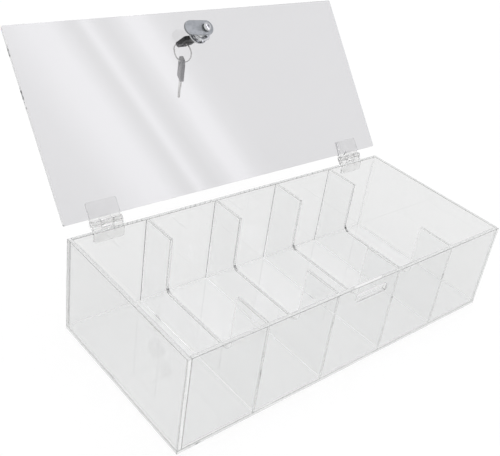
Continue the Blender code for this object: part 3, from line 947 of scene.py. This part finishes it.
def numbered(stem: str) -> list[str]:
    """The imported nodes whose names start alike, in order."""
    return sorted(node for node in frame["nodes"] if node.startswith(stem))


def joint(name: str) -> dict[str, object]:
    """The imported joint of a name."""
    return next(found for found in frame["joints"] if found["name"] == name)


@dataclass
class Assembly:
    """A group of pieces that share a palette."""

    palette: Palette

    def add(
        self, piece: Piece, body: Body, slot: Slot, finish: Finish, *nodes: str
    ) -> Piece:
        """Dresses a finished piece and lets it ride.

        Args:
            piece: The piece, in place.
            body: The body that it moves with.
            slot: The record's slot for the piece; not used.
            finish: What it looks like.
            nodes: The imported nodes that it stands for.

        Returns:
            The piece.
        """
        piece.data.materials.clear()
        piece.data.materials.append(self.palette.material(finish))
        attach(piece, body.value)
        if nodes:
            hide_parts(*nodes)
        log.info("%s rides on %s, %d faces", piece.name, body.value, len(piece.data.polygons))
        return piece


# The object


@dataclass
class Tray(Assembly):
    """The box: base, four walls and four dividers."""

    def build(self) -> None:
        """Dresses the box's sheets by the way they face."""
        self.palette.dress("base_panel", Palette.BASE_SHEET)
        for node in ("left_wall", "right_wall"):
            self.palette.dress(node, Palette.SIDE_SHEET)
        for node in numbered("divider_"):
            self.palette.dress(node, Palette.DIVIDER_SHEET)
        for node in ("front_wall", "back_wall"):
            self.palette.dress(node, Palette.FRONT_SHEET)


@dataclass
class Lid(Assembly):
    """The flat lid."""

    def build(self) -> None:
        """Dresses the lid."""
        self.palette.dress("lid_panel", Palette.LID_SHEET)


@dataclass
class Hinge(Assembly):
    """A clear moulded butt hinge, measured from its pin's middle with the lid shut."""

    side: str = "left"
    sheet: float = 0.0018
    bore: float = 0.0015
    radius: float = 0.0032
    air: float = 0.0003
    middle_length: float = 0.0115
    leaf_back: float = -0.0198
    leaf_floor: float = -0.0003
    plate_face: float = -0.0046
    plate_foot: float = -0.0158
    plate_top: float = -0.00235
    web_foot: float = -0.0088
    web_start: float = -0.0068
    corner: float = 0.002
    soft: float = 0.00025
    web_lip: float = -0.0041
    lid_air_share: float = 1.3
    box_sweep: Point = (180.0, -80.0)
    lid_sweep: Point = (186.0, 460.0)
    knuckle_sharp: float = 60.0
    corner_steps: int = 6
    steps: int = 24

    def __post_init__(self) -> None:
        """Works out the hinge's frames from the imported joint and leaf."""
        turning = joint("lid_hinge")
        low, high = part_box(f"{self.side}_hinge_box_leaf")
        self.width = high[0] - low[0]
        self.shut = Matrix.Translation(Vector(((low[0] + high[0]) / 2, *turning["pos_m"][1:])))
        self.opened = self.shut @ Matrix.Rotation(math.radians(-turning["range_deg"][1]), 4, "X")

    def build(self) -> None:
        """Builds both leaves and dresses the pin."""
        slot, finish = Slot.HINGE, Palette.HINGE
        self.add(self.box_leaf(), Body.BOX, slot, finish, f"{self.side}_hinge_box_leaf")
        self.add(self.lid_leaf(), Body.LID, slot, finish, f"{self.side}_hinge_lid_leaf")
        self.palette.dress(f"{self.side}_hinge_pin", finish)

    def plate_outline(self, near: float, far: float) -> list[Vector]:
        """A leaf's outline, square at its near end and with round corners at its far end.

        Args:
            near: Where it ends beside the knuckles.
            far: Where it ends away from them.

        Returns:
            The outline's points.
        """
        half, turn = self.width / 2, self.corner
        side = 1.0 if far < near else -1.0
        height = far + side * turn
        left = arc_of(turn, (turn - half, height), 180, 180 + side * 90, self.corner_steps)
        right = arc_of(turn, (half - turn, height), -side * 90, 0, self.corner_steps)
        return left + right + [Vector((half, near, 0.0)), Vector((-half, near, 0.0))]

    def knuckle(
        self, name: str, start: Sequence[Point], sweep: Point, length: float, middle: float, where: Matrix
    ) -> Piece:
        """One knuckle with its web.

        Args:
            name: The tool's name.
            start: The web's corners, from the pin's middle.
            sweep: The first and last angle of the knuckle's round, in degrees.
            length: Its length along the pin.
            middle: Its middle along the pin.
            where: The leaf's frame.

        Returns:
            The knuckle.
        """
        outline = [Vector((*corner, 0.0)) for corner in start]
        outline += arc_of(self.radius, (0.0, 0.0), *sweep, self.steps)
        hole = ring_of(self.bore, self.steps)
        form = Form().slab([outline, hole], middle - length / 2, middle + length / 2)
        return form.eased(self.soft, 2, self.knuckle_sharp).placed(name, where @ SIDEWAYS)

    def box_leaf(self) -> Piece:
        """The leaf on the back wall, with the two outer knuckles.

        Returns:
            The leaf.
        """
        outer = self.plate_face + self.sheet
        form = Form().slab([self.plate_outline(self.plate_top, self.plate_foot)], -outer, -self.plate_face)
        piece = form.eased(self.soft).placed(f"{self.side}_box_leaf", self.shut @ UPRIGHT)
        length = (self.width - self.middle_length) / 2 - self.air
        start = [(outer, self.web_foot), (self.plate_face, self.web_foot), (self.plate_face, self.web_lip)]
        tools = []
        for side in (-1, 1):
            middle = side * (self.width - length) / 2
            tools.append(self.knuckle(f"knuckle_{side}", start, self.box_sweep, length, middle, self.shut))
        return combined(piece, tools, "UNION")

    def lid_leaf(self) -> Piece:
        """The leaf on the lid, with the middle knuckle.

        Returns:
            The leaf.
        """
        near = -self.radius - self.air * self.lid_air_share
        top = self.leaf_floor + self.sheet
        form = Form().slab([self.plate_outline(near, self.leaf_back)], self.leaf_floor, top)
        piece = form.eased(self.soft).placed(f"{self.side}_lid_leaf", self.opened)
        start = [(self.web_start, top), (self.web_start, self.leaf_floor)]
        tool = self.knuckle("knuckle_middle", start, self.lid_sweep, self.middle_length, 0.0, self.opened)
        return combined(piece, [tool], "UNION")


@dataclass
class CamLock(Assembly):
    """The cam lock: heights count outwards from the lid's outer face, along the lock's axis."""

    fit: float = 0.0003
    lid_sheet: float = 0.003
    flange_radius: float = 0.011
    flange_rise: float = 0.0025
    flange_round: float = 0.0008
    barrel_radius: float = 0.008
    barrel_flat: float = 0.007
    barrel_reach: float = 0.0121
    thread_pitch: float = 0.0009
    thread_depth: float = 0.00045
    plug_radius: float = 0.0055
    plug_head_radius: float = 0.0062
    plug_head_rise: float = 0.0015
    washer_radius: float = 0.0109
    washer_tooth: float = 0.0018
    washer_teeth: int = 18
    washer_sheet: float = 0.0008
    washer_twist: float = 0.00018
    nut_across_flats: float = 0.0195
    nut_height: float = 0.0035
    stop_radius: float = 0.0072
    stop_sheet: float = 0.001
    tail_side: float = 0.0056
    cam_sheet: float = 0.002
    cam_width: float = 0.015
    cam_reach: float = 0.025
    cam_heel: float = 0.0083
    spring_radius: float = 0.0044
    spring_sheet: float = 0.0008
    screw_radius: float = 0.0015
    screw_head_radius: float = 0.00425
    screw_head_rim: float = 0.0006
    screw_head_rise: float = 0.0024
    screw_grip: float = 0.0042
    recess_span: float = 0.0046
    recess_width: float = 0.0009
    recess_depth: float = 0.0013
    recess_taper: tuple[float, float] = (0.55, 0.75)
    flange_turns: tuple[float, ...] = (90.0, 67.5, 45.0, 22.5, 0.0)
    tooth_points: int = 4
    tooth_middle: float = 2.5
    nut_cap_share: float = 0.985
    nut_chamfer_degrees: float = 30.0
    spring_wire_share: float = 0.72
    spring_sweep_degrees: float = 346.0
    spring_steps: int = 60
    screw_tip_share: float = 0.8
    dome_steps: int = 12
    dome_power: float = 0.85
    soft: float = 0.00012
    cam_round: float = 0.0003
    cam_round_steps: int = 3
    corner_steps: int = 3
    thread_sharp: float = 20.0
    screw_sharp: float = 45.0
    cam_steps: int = 32
    screw_steps: int = 64
    steps: int = 96

    def __post_init__(self) -> None:
        """Works out the lock's frames and its stack of heights."""
        turning = joint("lock_turn")
        outward = Vector(turning["axis"]).normalized()
        along = Vector((1.0, 0.0, 0.0))
        self.frame = axes(turning["pos_m"], along, outward.cross(along), outward)
        self.cam_frame = self.frame @ Matrix.Rotation(math.radians(-turning["range_deg"][0]), 4, "Z")
        self.face = self.fit + self.flange_rise
        self.washer_top = -self.lid_sheet - self.fit
        self.nut_top = self.washer_top - self.washer_sheet - self.fit
        self.stop_top = -self.barrel_reach - self.fit
        self.cam_top = self.stop_top - self.stop_sheet - self.fit
        self.spring_top = self.cam_top - self.cam_sheet - self.fit
        self.screw_top = self.spring_top - self.spring_sheet - self.fit

    def build(self) -> None:
        """Builds and dresses the lock from the flange to the screw."""
        chrome = (Slot.CHROME, Palette.CHROME)
        self.add(self.barrel(), Body.LID, *chrome, "lock_barrel")
        self.add(self.tooth_washer(), Body.LID, *chrome, "lock_tooth_washer")
        self.add(self.nut(), Body.LID, *chrome, "lock_nut")
        self.palette.dress("lock_plug", Palette.BRASS)
        for node in numbered("lock_wafer_"):
            self.palette.dress(node, Palette.BRASS)
        self.add(self.stop_washer(), Body.LOCK, Slot.ZINC, Palette.ZINC, "lock_stop_washer")
        self.add(self.cam(), Body.LOCK, Slot.ZINC, Palette.ZINC, "cam")
        self.add(self.spring_washer(), Body.LOCK, *chrome, "cam_spring_washer")
        self.add(self.screw(), Body.LOCK, *chrome, "cam_screw")

    def barrel(self) -> Piece:
        """The flanged barrel with its thread and two flats.

        Returns:
            The barrel.
        """
        bore = self.plug_radius + self.fit
        pocket_radius = self.plug_head_radius + self.fit
        pocket = self.face - self.plug_head_rise
        lip = self.flange_round
        profile = [(pocket_radius, self.face - lip / 3), (pocket_radius + lip / 3, self.face)]
        for turn in map(math.radians, self.flange_turns):
            rim = self.flange_radius - lip + lip * math.cos(turn)
            profile.append((rim, self.face - lip + lip * math.sin(turn)))
        profile += [(self.flange_radius, self.fit), (self.barrel_radius, self.fit)]
        height = self.fit - self.lid_sheet / 2
        while height - self.thread_pitch > -self.barrel_reach + self.thread_pitch / 2:
            profile.append((self.barrel_radius, height))
            profile.append((self.barrel_radius - self.thread_depth, height - self.thread_pitch / 2))
            height -= self.thread_pitch
        profile += [
            (self.barrel_radius, height), (self.barrel_radius - self.thread_depth, -self.barrel_reach),
            (bore, -self.barrel_reach), (bore, pocket), (pocket_radius, pocket),
        ]

        def flatten(place: Vector) -> Vector:
            """Presses the thread's two sides flat.

            Args:
                place: A point of the barrel.

            Returns:
                Its new place.
            """
            if place.z < self.fit - SMALL and abs(place.y) > self.barrel_flat:
                return Vector((place.x, math.copysign(self.barrel_flat, place.y), place.z))
            return place

        form = Form().turned(profile, self.steps, closed=True).shaped(flatten)
        return form.placed("barrel_with_thread", self.frame, self.thread_sharp)

    def tooth_washer(self) -> Piece:
        """The locking washer, whose teeth are twisted out of its plane.

        Returns:
            The washer.
        """
        count = self.tooth_points * self.washer_teeth
        outline = ring_of(self.washer_radius, count)
        root = (self.washer_radius - self.washer_tooth) / self.washer_radius
        for index, point in enumerate(outline):
            if index % self.tooth_points < self.tooth_points / 2:
                outline[index] = point * root
        middle = self.washer_top - self.washer_sheet / 2
        half = self.washer_sheet / 2 - self.washer_twist
        hole = ring_of(self.barrel_radius + self.fit, count)
        form = Form().slab([outline, hole], middle - half, middle + half)

        def twist(place: Vector) -> Vector:
            """Turns each tooth about its own middle line.

            Args:
                place: A point of the washer.

            Returns:
                Its new place.
            """
            if place.xy.length < self.washer_radius - self.washer_tooth / 2:
                return place
            turn = math.atan2(place.y, place.x) * self.washer_teeth / FULL_TURN
            phase = (turn * self.tooth_points - self.tooth_middle) % self.tooth_points
            side = 1.0 if phase < 1.0 or phase > self.tooth_points - 1.0 else -1.0
            return place + Vector((0.0, 0.0, side * self.washer_twist))

        return form.shaped(twist).placed("toothed_lock_washer", self.frame)

    def nut(self) -> Piece:
        """The thin hexagon nut with turned chamfers.

        Returns:
            The nut.
        """
        cap = self.nut_across_flats / 2 * self.nut_cap_share
        slope = math.tan(math.radians(self.nut_chamfer_degrees))
        half_side = math.pi / 6
        reach = []
        for step in range(self.steps):
            to_flat = (FULL_TURN * step / self.steps + half_side) % (half_side * 2) - half_side
            reach.append(self.nut_across_flats / 2 / math.cos(to_flat))
        top, bottom = self.nut_top, self.nut_top - self.nut_height
        bore, lead = self.barrel_radius + self.fit, self.thread_depth

        def level(rule: Callable[[float], tuple[float, float]]) -> list[Vector]:
            """One loop round the nut.

            Args:
                rule: Gives its radius and height for the hexagon's reach.

            Returns:
                The loop's points.
            """
            points = []
            for step, radius in enumerate(reach):
                span, height = rule(radius)
                spot = around(span, FULL_TURN * step / self.steps + half_side)
                points.append(Vector((spot.x, spot.y, height)))
            return points

        rules = (
            lambda radius: (min(radius, cap), top),
            lambda radius: (radius, top - max(0.0, radius - cap) * slope),
            lambda radius: (radius, bottom + max(0.0, radius - cap) * slope),
            lambda radius: (min(radius, cap), bottom),
            lambda radius: (bore + lead, bottom),
            lambda radius: (bore, bottom + lead),
            lambda radius: (bore, top - lead),
            lambda radius: (bore + lead, top),
        )
        form = Form().stack([level(rule) for rule in rules], closed=True)
        return form.placed("hexagon_nut", self.frame, self.thread_sharp)

    def square(self) -> list[Vector]:
        """The square hole that fits the plug's tail."""
        half = self.tail_side / 2 + self.fit
        return softened(rectangle(-half, -half, half, half), self.fit, self.corner_steps)

    def stop_washer(self) -> Piece:
        """The stop washer on the plug's tail.

        Returns:
            The washer.
        """
        outlines = [ring_of(self.stop_radius, self.steps), self.square()]
        form = Form().slab(outlines, self.stop_top - self.stop_sheet, self.stop_top).eased(self.soft)
        return form.placed("stop_washer", self.cam_frame)

    def cam(self) -> Piece:
        """The flat cam, stamped with one rolled side.

        Returns:
            The cam.
        """
        radius = self.cam_width / 2
        heel, tip = self.cam_heel - radius, radius - self.cam_reach
        outline = arc_of(radius, (heel, 0.0), -90, 90, self.cam_steps)
        outline += arc_of(radius, (tip, 0.0), 90, 270, self.cam_steps)
        form = Form().slab([outline, self.square()], self.cam_top - self.cam_sheet, self.cam_top)
        return form.eased(self.cam_round, self.cam_round_steps).placed("locking_cam", self.cam_frame)

    def spring_washer(self) -> Piece:
        """The split spring washer under the screw's head.

        Returns:
            The washer.
        """
        form = Form()
        low, thick = self.spring_top - self.spring_sheet, self.spring_sheet * self.spring_wire_share
        corners = rectangle(self.screw_radius + self.fit, low, self.spring_radius, low + thick)
        verts = form.loop([Vector((radius, 0.0, height)) for radius, height in corners])
        face = bmesh.ops.contextual_create(form.mesh, geom=verts)["faces"]
        rise = (self.spring_sheet - thick) / self.spring_steps
        bmesh.ops.spin(
            form.mesh, geom=face, cent=(0, 0, 0), axis=(0, 0, 1), dvec=(0.0, 0.0, rise),
            angle=math.radians(self.spring_sweep_degrees), steps=self.spring_steps, use_merge=False,
        )
        return form.welded().placed("split_spring_washer", self.cam_frame)

    def screw(self) -> Piece:
        """The pan-head screw with its cross recess.

        Returns:
            The screw.
        """
        top = self.cam_top - self.cam_sheet + self.screw_grip
        rim = self.screw_top - self.screw_head_rim
        dome = self.screw_head_rise - self.screw_head_rim
        shank = self.screw_radius
        profile = [(0.0, top), (shank * self.screw_tip_share, top), (shank, top - self.fit)]
        profile += [(shank, self.screw_top), (self.screw_head_radius, self.screw_top)]
        for step in range(self.dome_steps + 1):
            turn = math.radians(90.0 * step / self.dome_steps)
            radius = self.screw_head_radius * math.cos(turn) ** self.dome_power
            profile.append((radius, rim - dome * math.sin(turn)))
        form = Form().turned(profile, self.screw_steps)
        piece = form.placed("pan_head_screw", self.cam_frame, self.screw_sharp)
        bottom = self.screw_top - self.screw_head_rise
        sides = (self.recess_span / 2, self.recess_width / 2)
        tools = []
        for label, (x, y) in zip("ab", (sides, sides[::-1])):
            wide = [Vector((*corner, bottom - self.fit)) for corner in rectangle(-x, -y, x, y)]
            floor = bottom + self.recess_depth
            deep = [Vector((p.x * self.recess_taper[0], p.y * self.recess_taper[1], floor)) for p in wide]
            tools.append(Form().stack([wide, deep], closed=False).placed(f"recess_{label}", self.cam_frame))
        return combined(piece, tools, "DIFFERENCE")


@dataclass
class Key(Assembly):
    """A cut key with a moulded head: heights count up from the hole in the head."""

    prefix: str = "key"
    body: Body = Body.KEY
    slot: Slot = Slot.BLACK
    finish: Finish = Palette.BLACK
    where: Matrix = field(default_factory=Matrix)
    blade_width: float = 0.006
    blade_sheet: float = 0.0018
    blade_reach: float = 0.0214
    blade_tang: float = 0.005
    blade_tip: float = 0.002
    blade_neck: float = 0.012
    shank_length: float = 0.0083
    shoulder: float = 0.0018
    cut_pitch: float = 0.0022
    first_cut: float = 0.0003
    cut_depth: float = 0.0012
    cut_half_width: float = 0.0009
    cut_shares: tuple[float, ...] = (0.45, 1.0, 0.3, 0.75)
    groove_width: float = 0.0011
    groove_depth: float = 0.00045
    head_length: float = 0.0238
    head_width: float = 0.0192
    head_sheet: float = 0.0042
    head_corner: float = 0.002
    head_tip: float = 0.0058
    head_shares: tuple[tuple[float, float], ...] = ((1.0, 0.0), (1.0, 0.8), (0.52, 1.0))
    hole_radius: float = 0.004
    cut_floor_share: float = 0.2
    groove_shares: tuple[float, float] = (0.12, -0.35)
    groove_round_share: float = 0.4
    field_width_share: float = 0.68
    field_shares: tuple[float, float] = (0.1, 0.07)
    field_lean: float = 0.98
    field_draft: float = 0.95
    field_rounds: tuple[float, float] = (0.8, 0.7)
    soft: float = 0.00012
    head_round: float = 0.0008
    head_round_steps: int = 4
    corner_steps: int = 8
    groove_steps: int = 4
    pocket_steps: int = 2
    sharp: float = 50.0
    hole_steps: int = 48
    fit: float = 0.0003

    def __post_init__(self) -> None:
        """Works out the upright frame of the flat outlines."""
        self.flat = self.where @ UPRIGHT
        self.base = self.head_tip - self.head_length

    def build(self) -> None:
        """Builds and dresses the blade and the head."""
        self.add(self.blade(), self.body, Slot.NICKEL, Palette.NICKEL, f"{self.prefix}_blade")
        self.add(self.head(), self.body, self.slot, self.finish, f"{self.prefix}_head")

    def blade(self) -> Piece:
        """The blade: tang, shouldered shank, cuts and a milled groove on each side.

        Returns:
            The blade.
        """
        half = self.blade_width / 2
        shoulder = self.base - self.shank_length
        end = self.base - self.blade_reach
        points = [
            (half, self.base + self.blade_tang), (half, self.base - self.fit),
            (half + self.shoulder, self.base - self.fit), (half + self.shoulder, shoulder), (half, shoulder),
        ]
        for index, share in enumerate(self.cut_shares):
            middle = self.base - self.blade_neck - self.first_cut - index * self.cut_pitch
            flat = self.cut_half_width * self.cut_floor_share
            floor = half - share * self.cut_depth
            points += [(half, middle + self.cut_half_width), (floor, middle + flat), (floor, middle - flat)]
            points.append((half, middle - self.cut_half_width))
        points += [(half, end + self.blade_tip), (half - self.blade_tip, end), (self.blade_tip - half, end)]
        points += [(-half, end + self.blade_tip), (-half, self.base + self.blade_tang)]
        outline = [Vector((x, y, 0.0)) for x, y in points]
        thick = self.blade_sheet / 2
        form = Form().slab([outline], -thick, thick).eased(self.soft, 2, self.sharp)
        piece = form.placed(f"{self.prefix}_blade_cut", self.flat)
        tools = []
        for side, share in zip((1, -1), self.groove_shares):
            centre = share * self.blade_width
            low, high = centre - self.groove_width / 2, centre + self.groove_width / 2
            corners = rectangle(low, end - self.fit, high, shoulder)
            floor, past = sorted((side * (thick - self.groove_depth), side * (thick + self.fit)))
            outline = softened(corners, self.groove_width * self.groove_round_share, self.groove_steps)
            groove = Form().slab([outline], floor, past)
            tools.append(groove.placed(f"{self.prefix}_groove_{side}", self.flat))
        return combined(piece, tools, "DIFFERENCE")

    def head(self) -> Piece:
        """The moulded head: a softened slab with a hole, a pocket for the tang and a sunk field on each face.

        Returns:
            The head.
        """
        right = [(x * self.head_width / 2, self.base + y * self.head_length) for x, y in self.head_shares]
        corners = right + [(-x, y) for x, y in reversed(right)]
        outline = softened(corners, self.head_corner, self.corner_steps)
        thick = self.head_sheet / 2
        form = Form().slab([outline, ring_of(self.hole_radius, self.hole_steps)], -thick, thick)
        form = form.eased(self.head_round, self.head_round_steps, self.sharp)
        piece = form.placed(f"{self.prefix}_head_moulding", self.flat, self.sharp)
        tools = [self.field(side) for side in (-1, 1)]
        x, y = self.blade_width / 2 + self.fit / 2, self.blade_sheet / 2 + self.fit / 2
        low, high = self.base - self.fit, self.base + self.blade_tang + self.fit
        hollow = softened(rectangle(-x, -y, x, y), self.fit, self.pocket_steps)
        pocket = Form().slab([hollow], low, high)
        tools.append(pocket.placed(f"{self.prefix}_pocket_cut", self.where))
        return combined(piece, tools, "DIFFERENCE")

    def field(self, side: int) -> Piece:
        """The tool for the shallow sunk field between the hole and the blade, on one face.

        Args:
            side: 1 for the front face, -1 for the back.

        Returns:
            The tool.
        """
        thick = self.head_sheet / 2
        half = self.head_width / 2 * self.field_width_share
        low = self.base + self.head_length * self.field_shares[0]
        high = -self.hole_radius - self.head_length * self.field_shares[1]
        corners = [(-half, low), (half, low), (half * self.field_lean, high), (-half * self.field_lean, high)]
        inner = [(x * self.field_draft, y + (self.fit if y == low else -self.fit)) for x, y in corners]
        heights = (thick + self.fit, thick - self.fit)
        loops = []
        for outline, share, height in zip((corners, inner), self.field_rounds, heights):
            points = softened(outline, self.head_corner * share)
            loops.append([Vector((point.x, point.y, side * height)) for point in points])
        return Form().stack(loops, closed=False).placed(f"{self.prefix}_field_{side}", self.flat)


@dataclass
class SplitRing(Assembly):
    """The split ring of two turns that carries the spare key."""

    radius: float = 0.0106
    wire: float = 0.0008
    pitch: float = 0.00122
    turns: int = 2
    start: float = 90.0
    points_per_turn: int = 96
    wire_steps: int = 3
    sharp: float = 50.0

    def __post_init__(self) -> None:
        """Works out the ring's frame from the joint that it swings on."""
        swing = joint("ring_swing")
        along = Vector(swing["axis"]).normalized()
        across = UP.cross(along)
        self.frame = axes(Vector(swing["pos_m"]) + across * self.pitch / 2, along, across, UP)

    def build(self) -> None:
        """Builds the wire and dresses it."""
        curve = bpy.data.curves.new("split_ring", "CURVE")
        curve.dimensions = "3D"
        curve.bevel_depth = self.wire / 2
        curve.bevel_resolution = self.wire_steps
        curve.use_fill_caps = True
        spline = curve.splines.new("POLY")
        count = self.points_per_turn * self.turns
        spline.points.add(count)
        middle = self.turns / 2 + self.start / 360.0
        for step, point in enumerate(spline.points):
            turn = step / self.points_per_turn
            angle = math.radians(self.start) + FULL_TURN * turn
            lift = (turn - middle) * self.pitch
            sway = Vector((self.radius * math.sin(angle), lift, self.radius * math.cos(angle) - self.radius))
            point.co = (*(self.frame @ sway), 1.0)
        drawn = linked("split_ring_curve", curve)
        form = Form()
        form.mesh.from_mesh(evaluated(drawn))
        bpy.data.objects.remove(drawn, do_unlink=True)
        piece = form.welded().placed("split_ring", Matrix(), self.sharp)
        self.add(piece, Body.RING, Slot.NICKEL, Palette.WIRE, "key_ring")


# Stage


@dataclass
class Studio:
    """A plain pale floor, soft light and the photograph's camera."""

    eye: Point = (-0.46184, -0.41096, 0.46740)
    right: Point = (0.74021, -0.65348, 0.15829)
    up: Point = (0.24138, 0.47799, 0.84455)
    forward: Point = (0.62756, 0.58693, -0.51155)
    focal_pixels: float = 763.28
    centre_x: float = 288.6
    centre_y: float = 227.7
    sensor: float = 36.0
    floor_size: float = 14.0
    floor_drop: float = 0.0004
    sky: float = 0.62
    seen: float = 0.93
    key_strength: float = 1.3
    softness: float = 40.0
    cloth_tone: Colour = (1.0, 0.985, 1.05)
    brightest: float = 4.0
    cloth_away: float = 1.3
    cloth_reach: float = 0.8
    cloth_lean: float = 0.22
    bounces: int = 128
    floor_tone: Colour = (0.86, 0.86, 0.86)
    floor_lift: float = 0.13
    floor_share: float = 0.72
    lights: tuple[tuple[str, Point, float], ...] = (
        ("key_light", (-0.9, -0.7, 1.5), 1.0), ("fill_light", (1.1, 0.2, 1.2), 0.4),
    )
    folds: tuple[tuple[float, float], ...] = (
        (-0.50, 0.9), (-0.41, 1.5), (-0.32, 3.5), (-0.27, 3.7), (-0.22, 1.2), (-0.205, 1.3), (-0.185, 3.7),
        (-0.16, 1.5), (-0.14, 0.9), (-0.11, 2.0), (-0.085, 3.7), (-0.055, 3.4), (-0.02, 1.5), (0.02, 0.9),
    )

    def build(self) -> None:
        """Sets the stage, lights it and aims the camera."""
        scene = bpy.context.scene
        scene.view_settings.view_transform = "Standard"
        cycles = scene.cycles
        for setting in ("max_bounces", "glossy_bounces", "transmission_bounces", "transparent_max_bounces"):
            setattr(cycles, setting, self.bounces)
        self.world()
        self.floor()
        self.lamps()
        self.card()
        self.camera()

    def world(self) -> None:
        """White to the camera, in metal and in glass; softer for lighting."""
        graph = Graph(bpy.data.worlds.new("studio_sky"))
        level: Signal | float = self.sky
        for kind, strength in (("Glossy", self.seen), ("Transmission", self.seen), ("Camera", 1.0)):
            level = graph.node("ShaderNodeMix", None, {0: graph.ray(kind), 2: level, 3: strength})
        sky = graph.node("ShaderNodeBackground", None, {"Color": WHITE, "Strength": level})
        bpy.context.scene.world = graph.finish(sky)

    def floor(self) -> None:
        """The pale floor, white where nothing shades it."""
        form = Form()
        bmesh.ops.create_grid(form.mesh, x_segments=1, y_segments=1, size=self.floor_size / 2)
        piece = form.placed("floor", Matrix.Translation((0.0, 0.0, -self.floor_drop)))
        graph = Graph(bpy.data.materials.new("pale_floor"))
        eye, gloss, through = (graph.ray(kind) for kind in ("Camera", "Glossy", "Transmission"))
        matt = graph.node("ShaderNodeBsdfDiffuse", None, {"Color": (*self.floor_tone, 1.0)})
        level = eye * self.floor_lift + self.seen
        glow = graph.node("ShaderNodeEmission", None, {"Color": WHITE, "Strength": level})
        share = (eye | gloss | through) * self.floor_share
        shader = graph.node("ShaderNodeMixShader", None, {0: share, 1: matt, 2: glow})
        piece.data.materials.append(graph.finish(shader))

    def lamps(self) -> None:
        """A broad soft light from the left front and a weaker one from the right, even over the floor."""
        for name, place, strength in self.lights:
            light = bpy.data.lights.new(name, "SUN")
            light.energy = strength * self.key_strength
            light.angle = math.radians(self.softness)
            lamp = linked(name, light)
            lamp.location = place
            lamp.rotation_mode = "QUATERNION"
            lamp.rotation_quaternion = (-Vector(place)).to_track_quat("-Z", "Y")
            for ray in ("camera", "glossy", "transmission"):
                setattr(lamp, f"visible_{ray}", False)

    def card(self) -> None:
        """A bright folded cloth out of view, which the open lid mirrors as soft streaks."""
        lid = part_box("lid_panel")
        middle = (lid[0] + lid[1]) / 2
        normal = -Vector(Facing.LEANING.value)
        sight = (middle - Vector(self.eye)).normalized()
        mirrored = sight - 2 * sight.dot(normal) * normal
        centre = middle + mirrored * self.cloth_away
        side = UP.cross(mirrored).normalized()
        rise = mirrored.cross(side)
        form = Form()
        bmesh.ops.create_grid(form.mesh, x_segments=1, y_segments=1, size=self.cloth_reach)
        piece = form.placed("streak_cloth", axes(centre, side, rise, mirrored))
        for ray in ("camera", "diffuse", "transmission", "shadow", "volume_scatter"):
            setattr(piece, f"visible_{ray}", False)
        graph = Graph(bpy.data.materials.new("streaked_cloth"))
        lean = side - rise * self.cloth_lean
        across = graph.along(graph.place(), lean)
        width = self.cloth_reach * 2
        position = (across - lean.dot(centre) + self.cloth_reach) * (1 / width)
        stops = [
            ((place + self.cloth_reach) / width, dimmed(self.cloth_tone, level / self.brightest))
            for place, level in self.folds
        ]
        ramp = graph.node("ShaderNodeValToRGB", {"stops": stops}, {0: position})
        glow = graph.node("ShaderNodeEmission", None, {"Color": ramp, "Strength": self.brightest})
        piece.data.materials.append(graph.finish(glow))

    def camera(self) -> None:
        """The photograph's camera."""
        data = bpy.data.cameras.new("camera")
        data.sensor_width = self.sensor
        data.sensor_fit = "HORIZONTAL"
        data.lens = self.focal_pixels * self.sensor / PHOTO_WIDTH
        data.shift_x = (PHOTO_WIDTH / 2 - self.centre_x) / PHOTO_WIDTH
        data.shift_y = (self.centre_y - PHOTO_HEIGHT / 2) / PHOTO_WIDTH
        camera = linked("camera", data)
        camera.matrix_world = axes(self.eye, self.right, self.up, [-value for value in self.forward])
        bpy.context.scene.camera = camera


def main() -> None:
    """Dresses the tray and sets its stage."""
    logging.basicConfig(level=logging.INFO, format="%(message)s")
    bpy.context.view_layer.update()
    palette = Palette()
    Tray(palette).build()
    Lid(palette).build()
    for side in ("left", "right"):
        Hinge(palette, side).build()
    lock = CamLock(palette)
    lock.build()
    key_frame = lock.frame @ Matrix.Translation((0.0, 0.0, KEY_HOLE_HEIGHT))
    Key(palette, where=key_frame).build()
    SplitRing(palette).build()
    heading = math.radians(SPARE_HEADING_DEGREES)
    hole_axis = Vector((math.cos(heading), math.sin(heading), 0.0))
    hang = Vector(joint("spare_swing")["pos_m"]) - UP * SPARE_DROP
    spare_frame = axes(hang, hole_axis.cross(UP), hole_axis, UP)
    Key(palette, "spare_key", Body.SPARE, Slot.GREY, Palette.GREY, spare_frame).build()
    Studio().build()


if __name__ == "__main__":
    main()
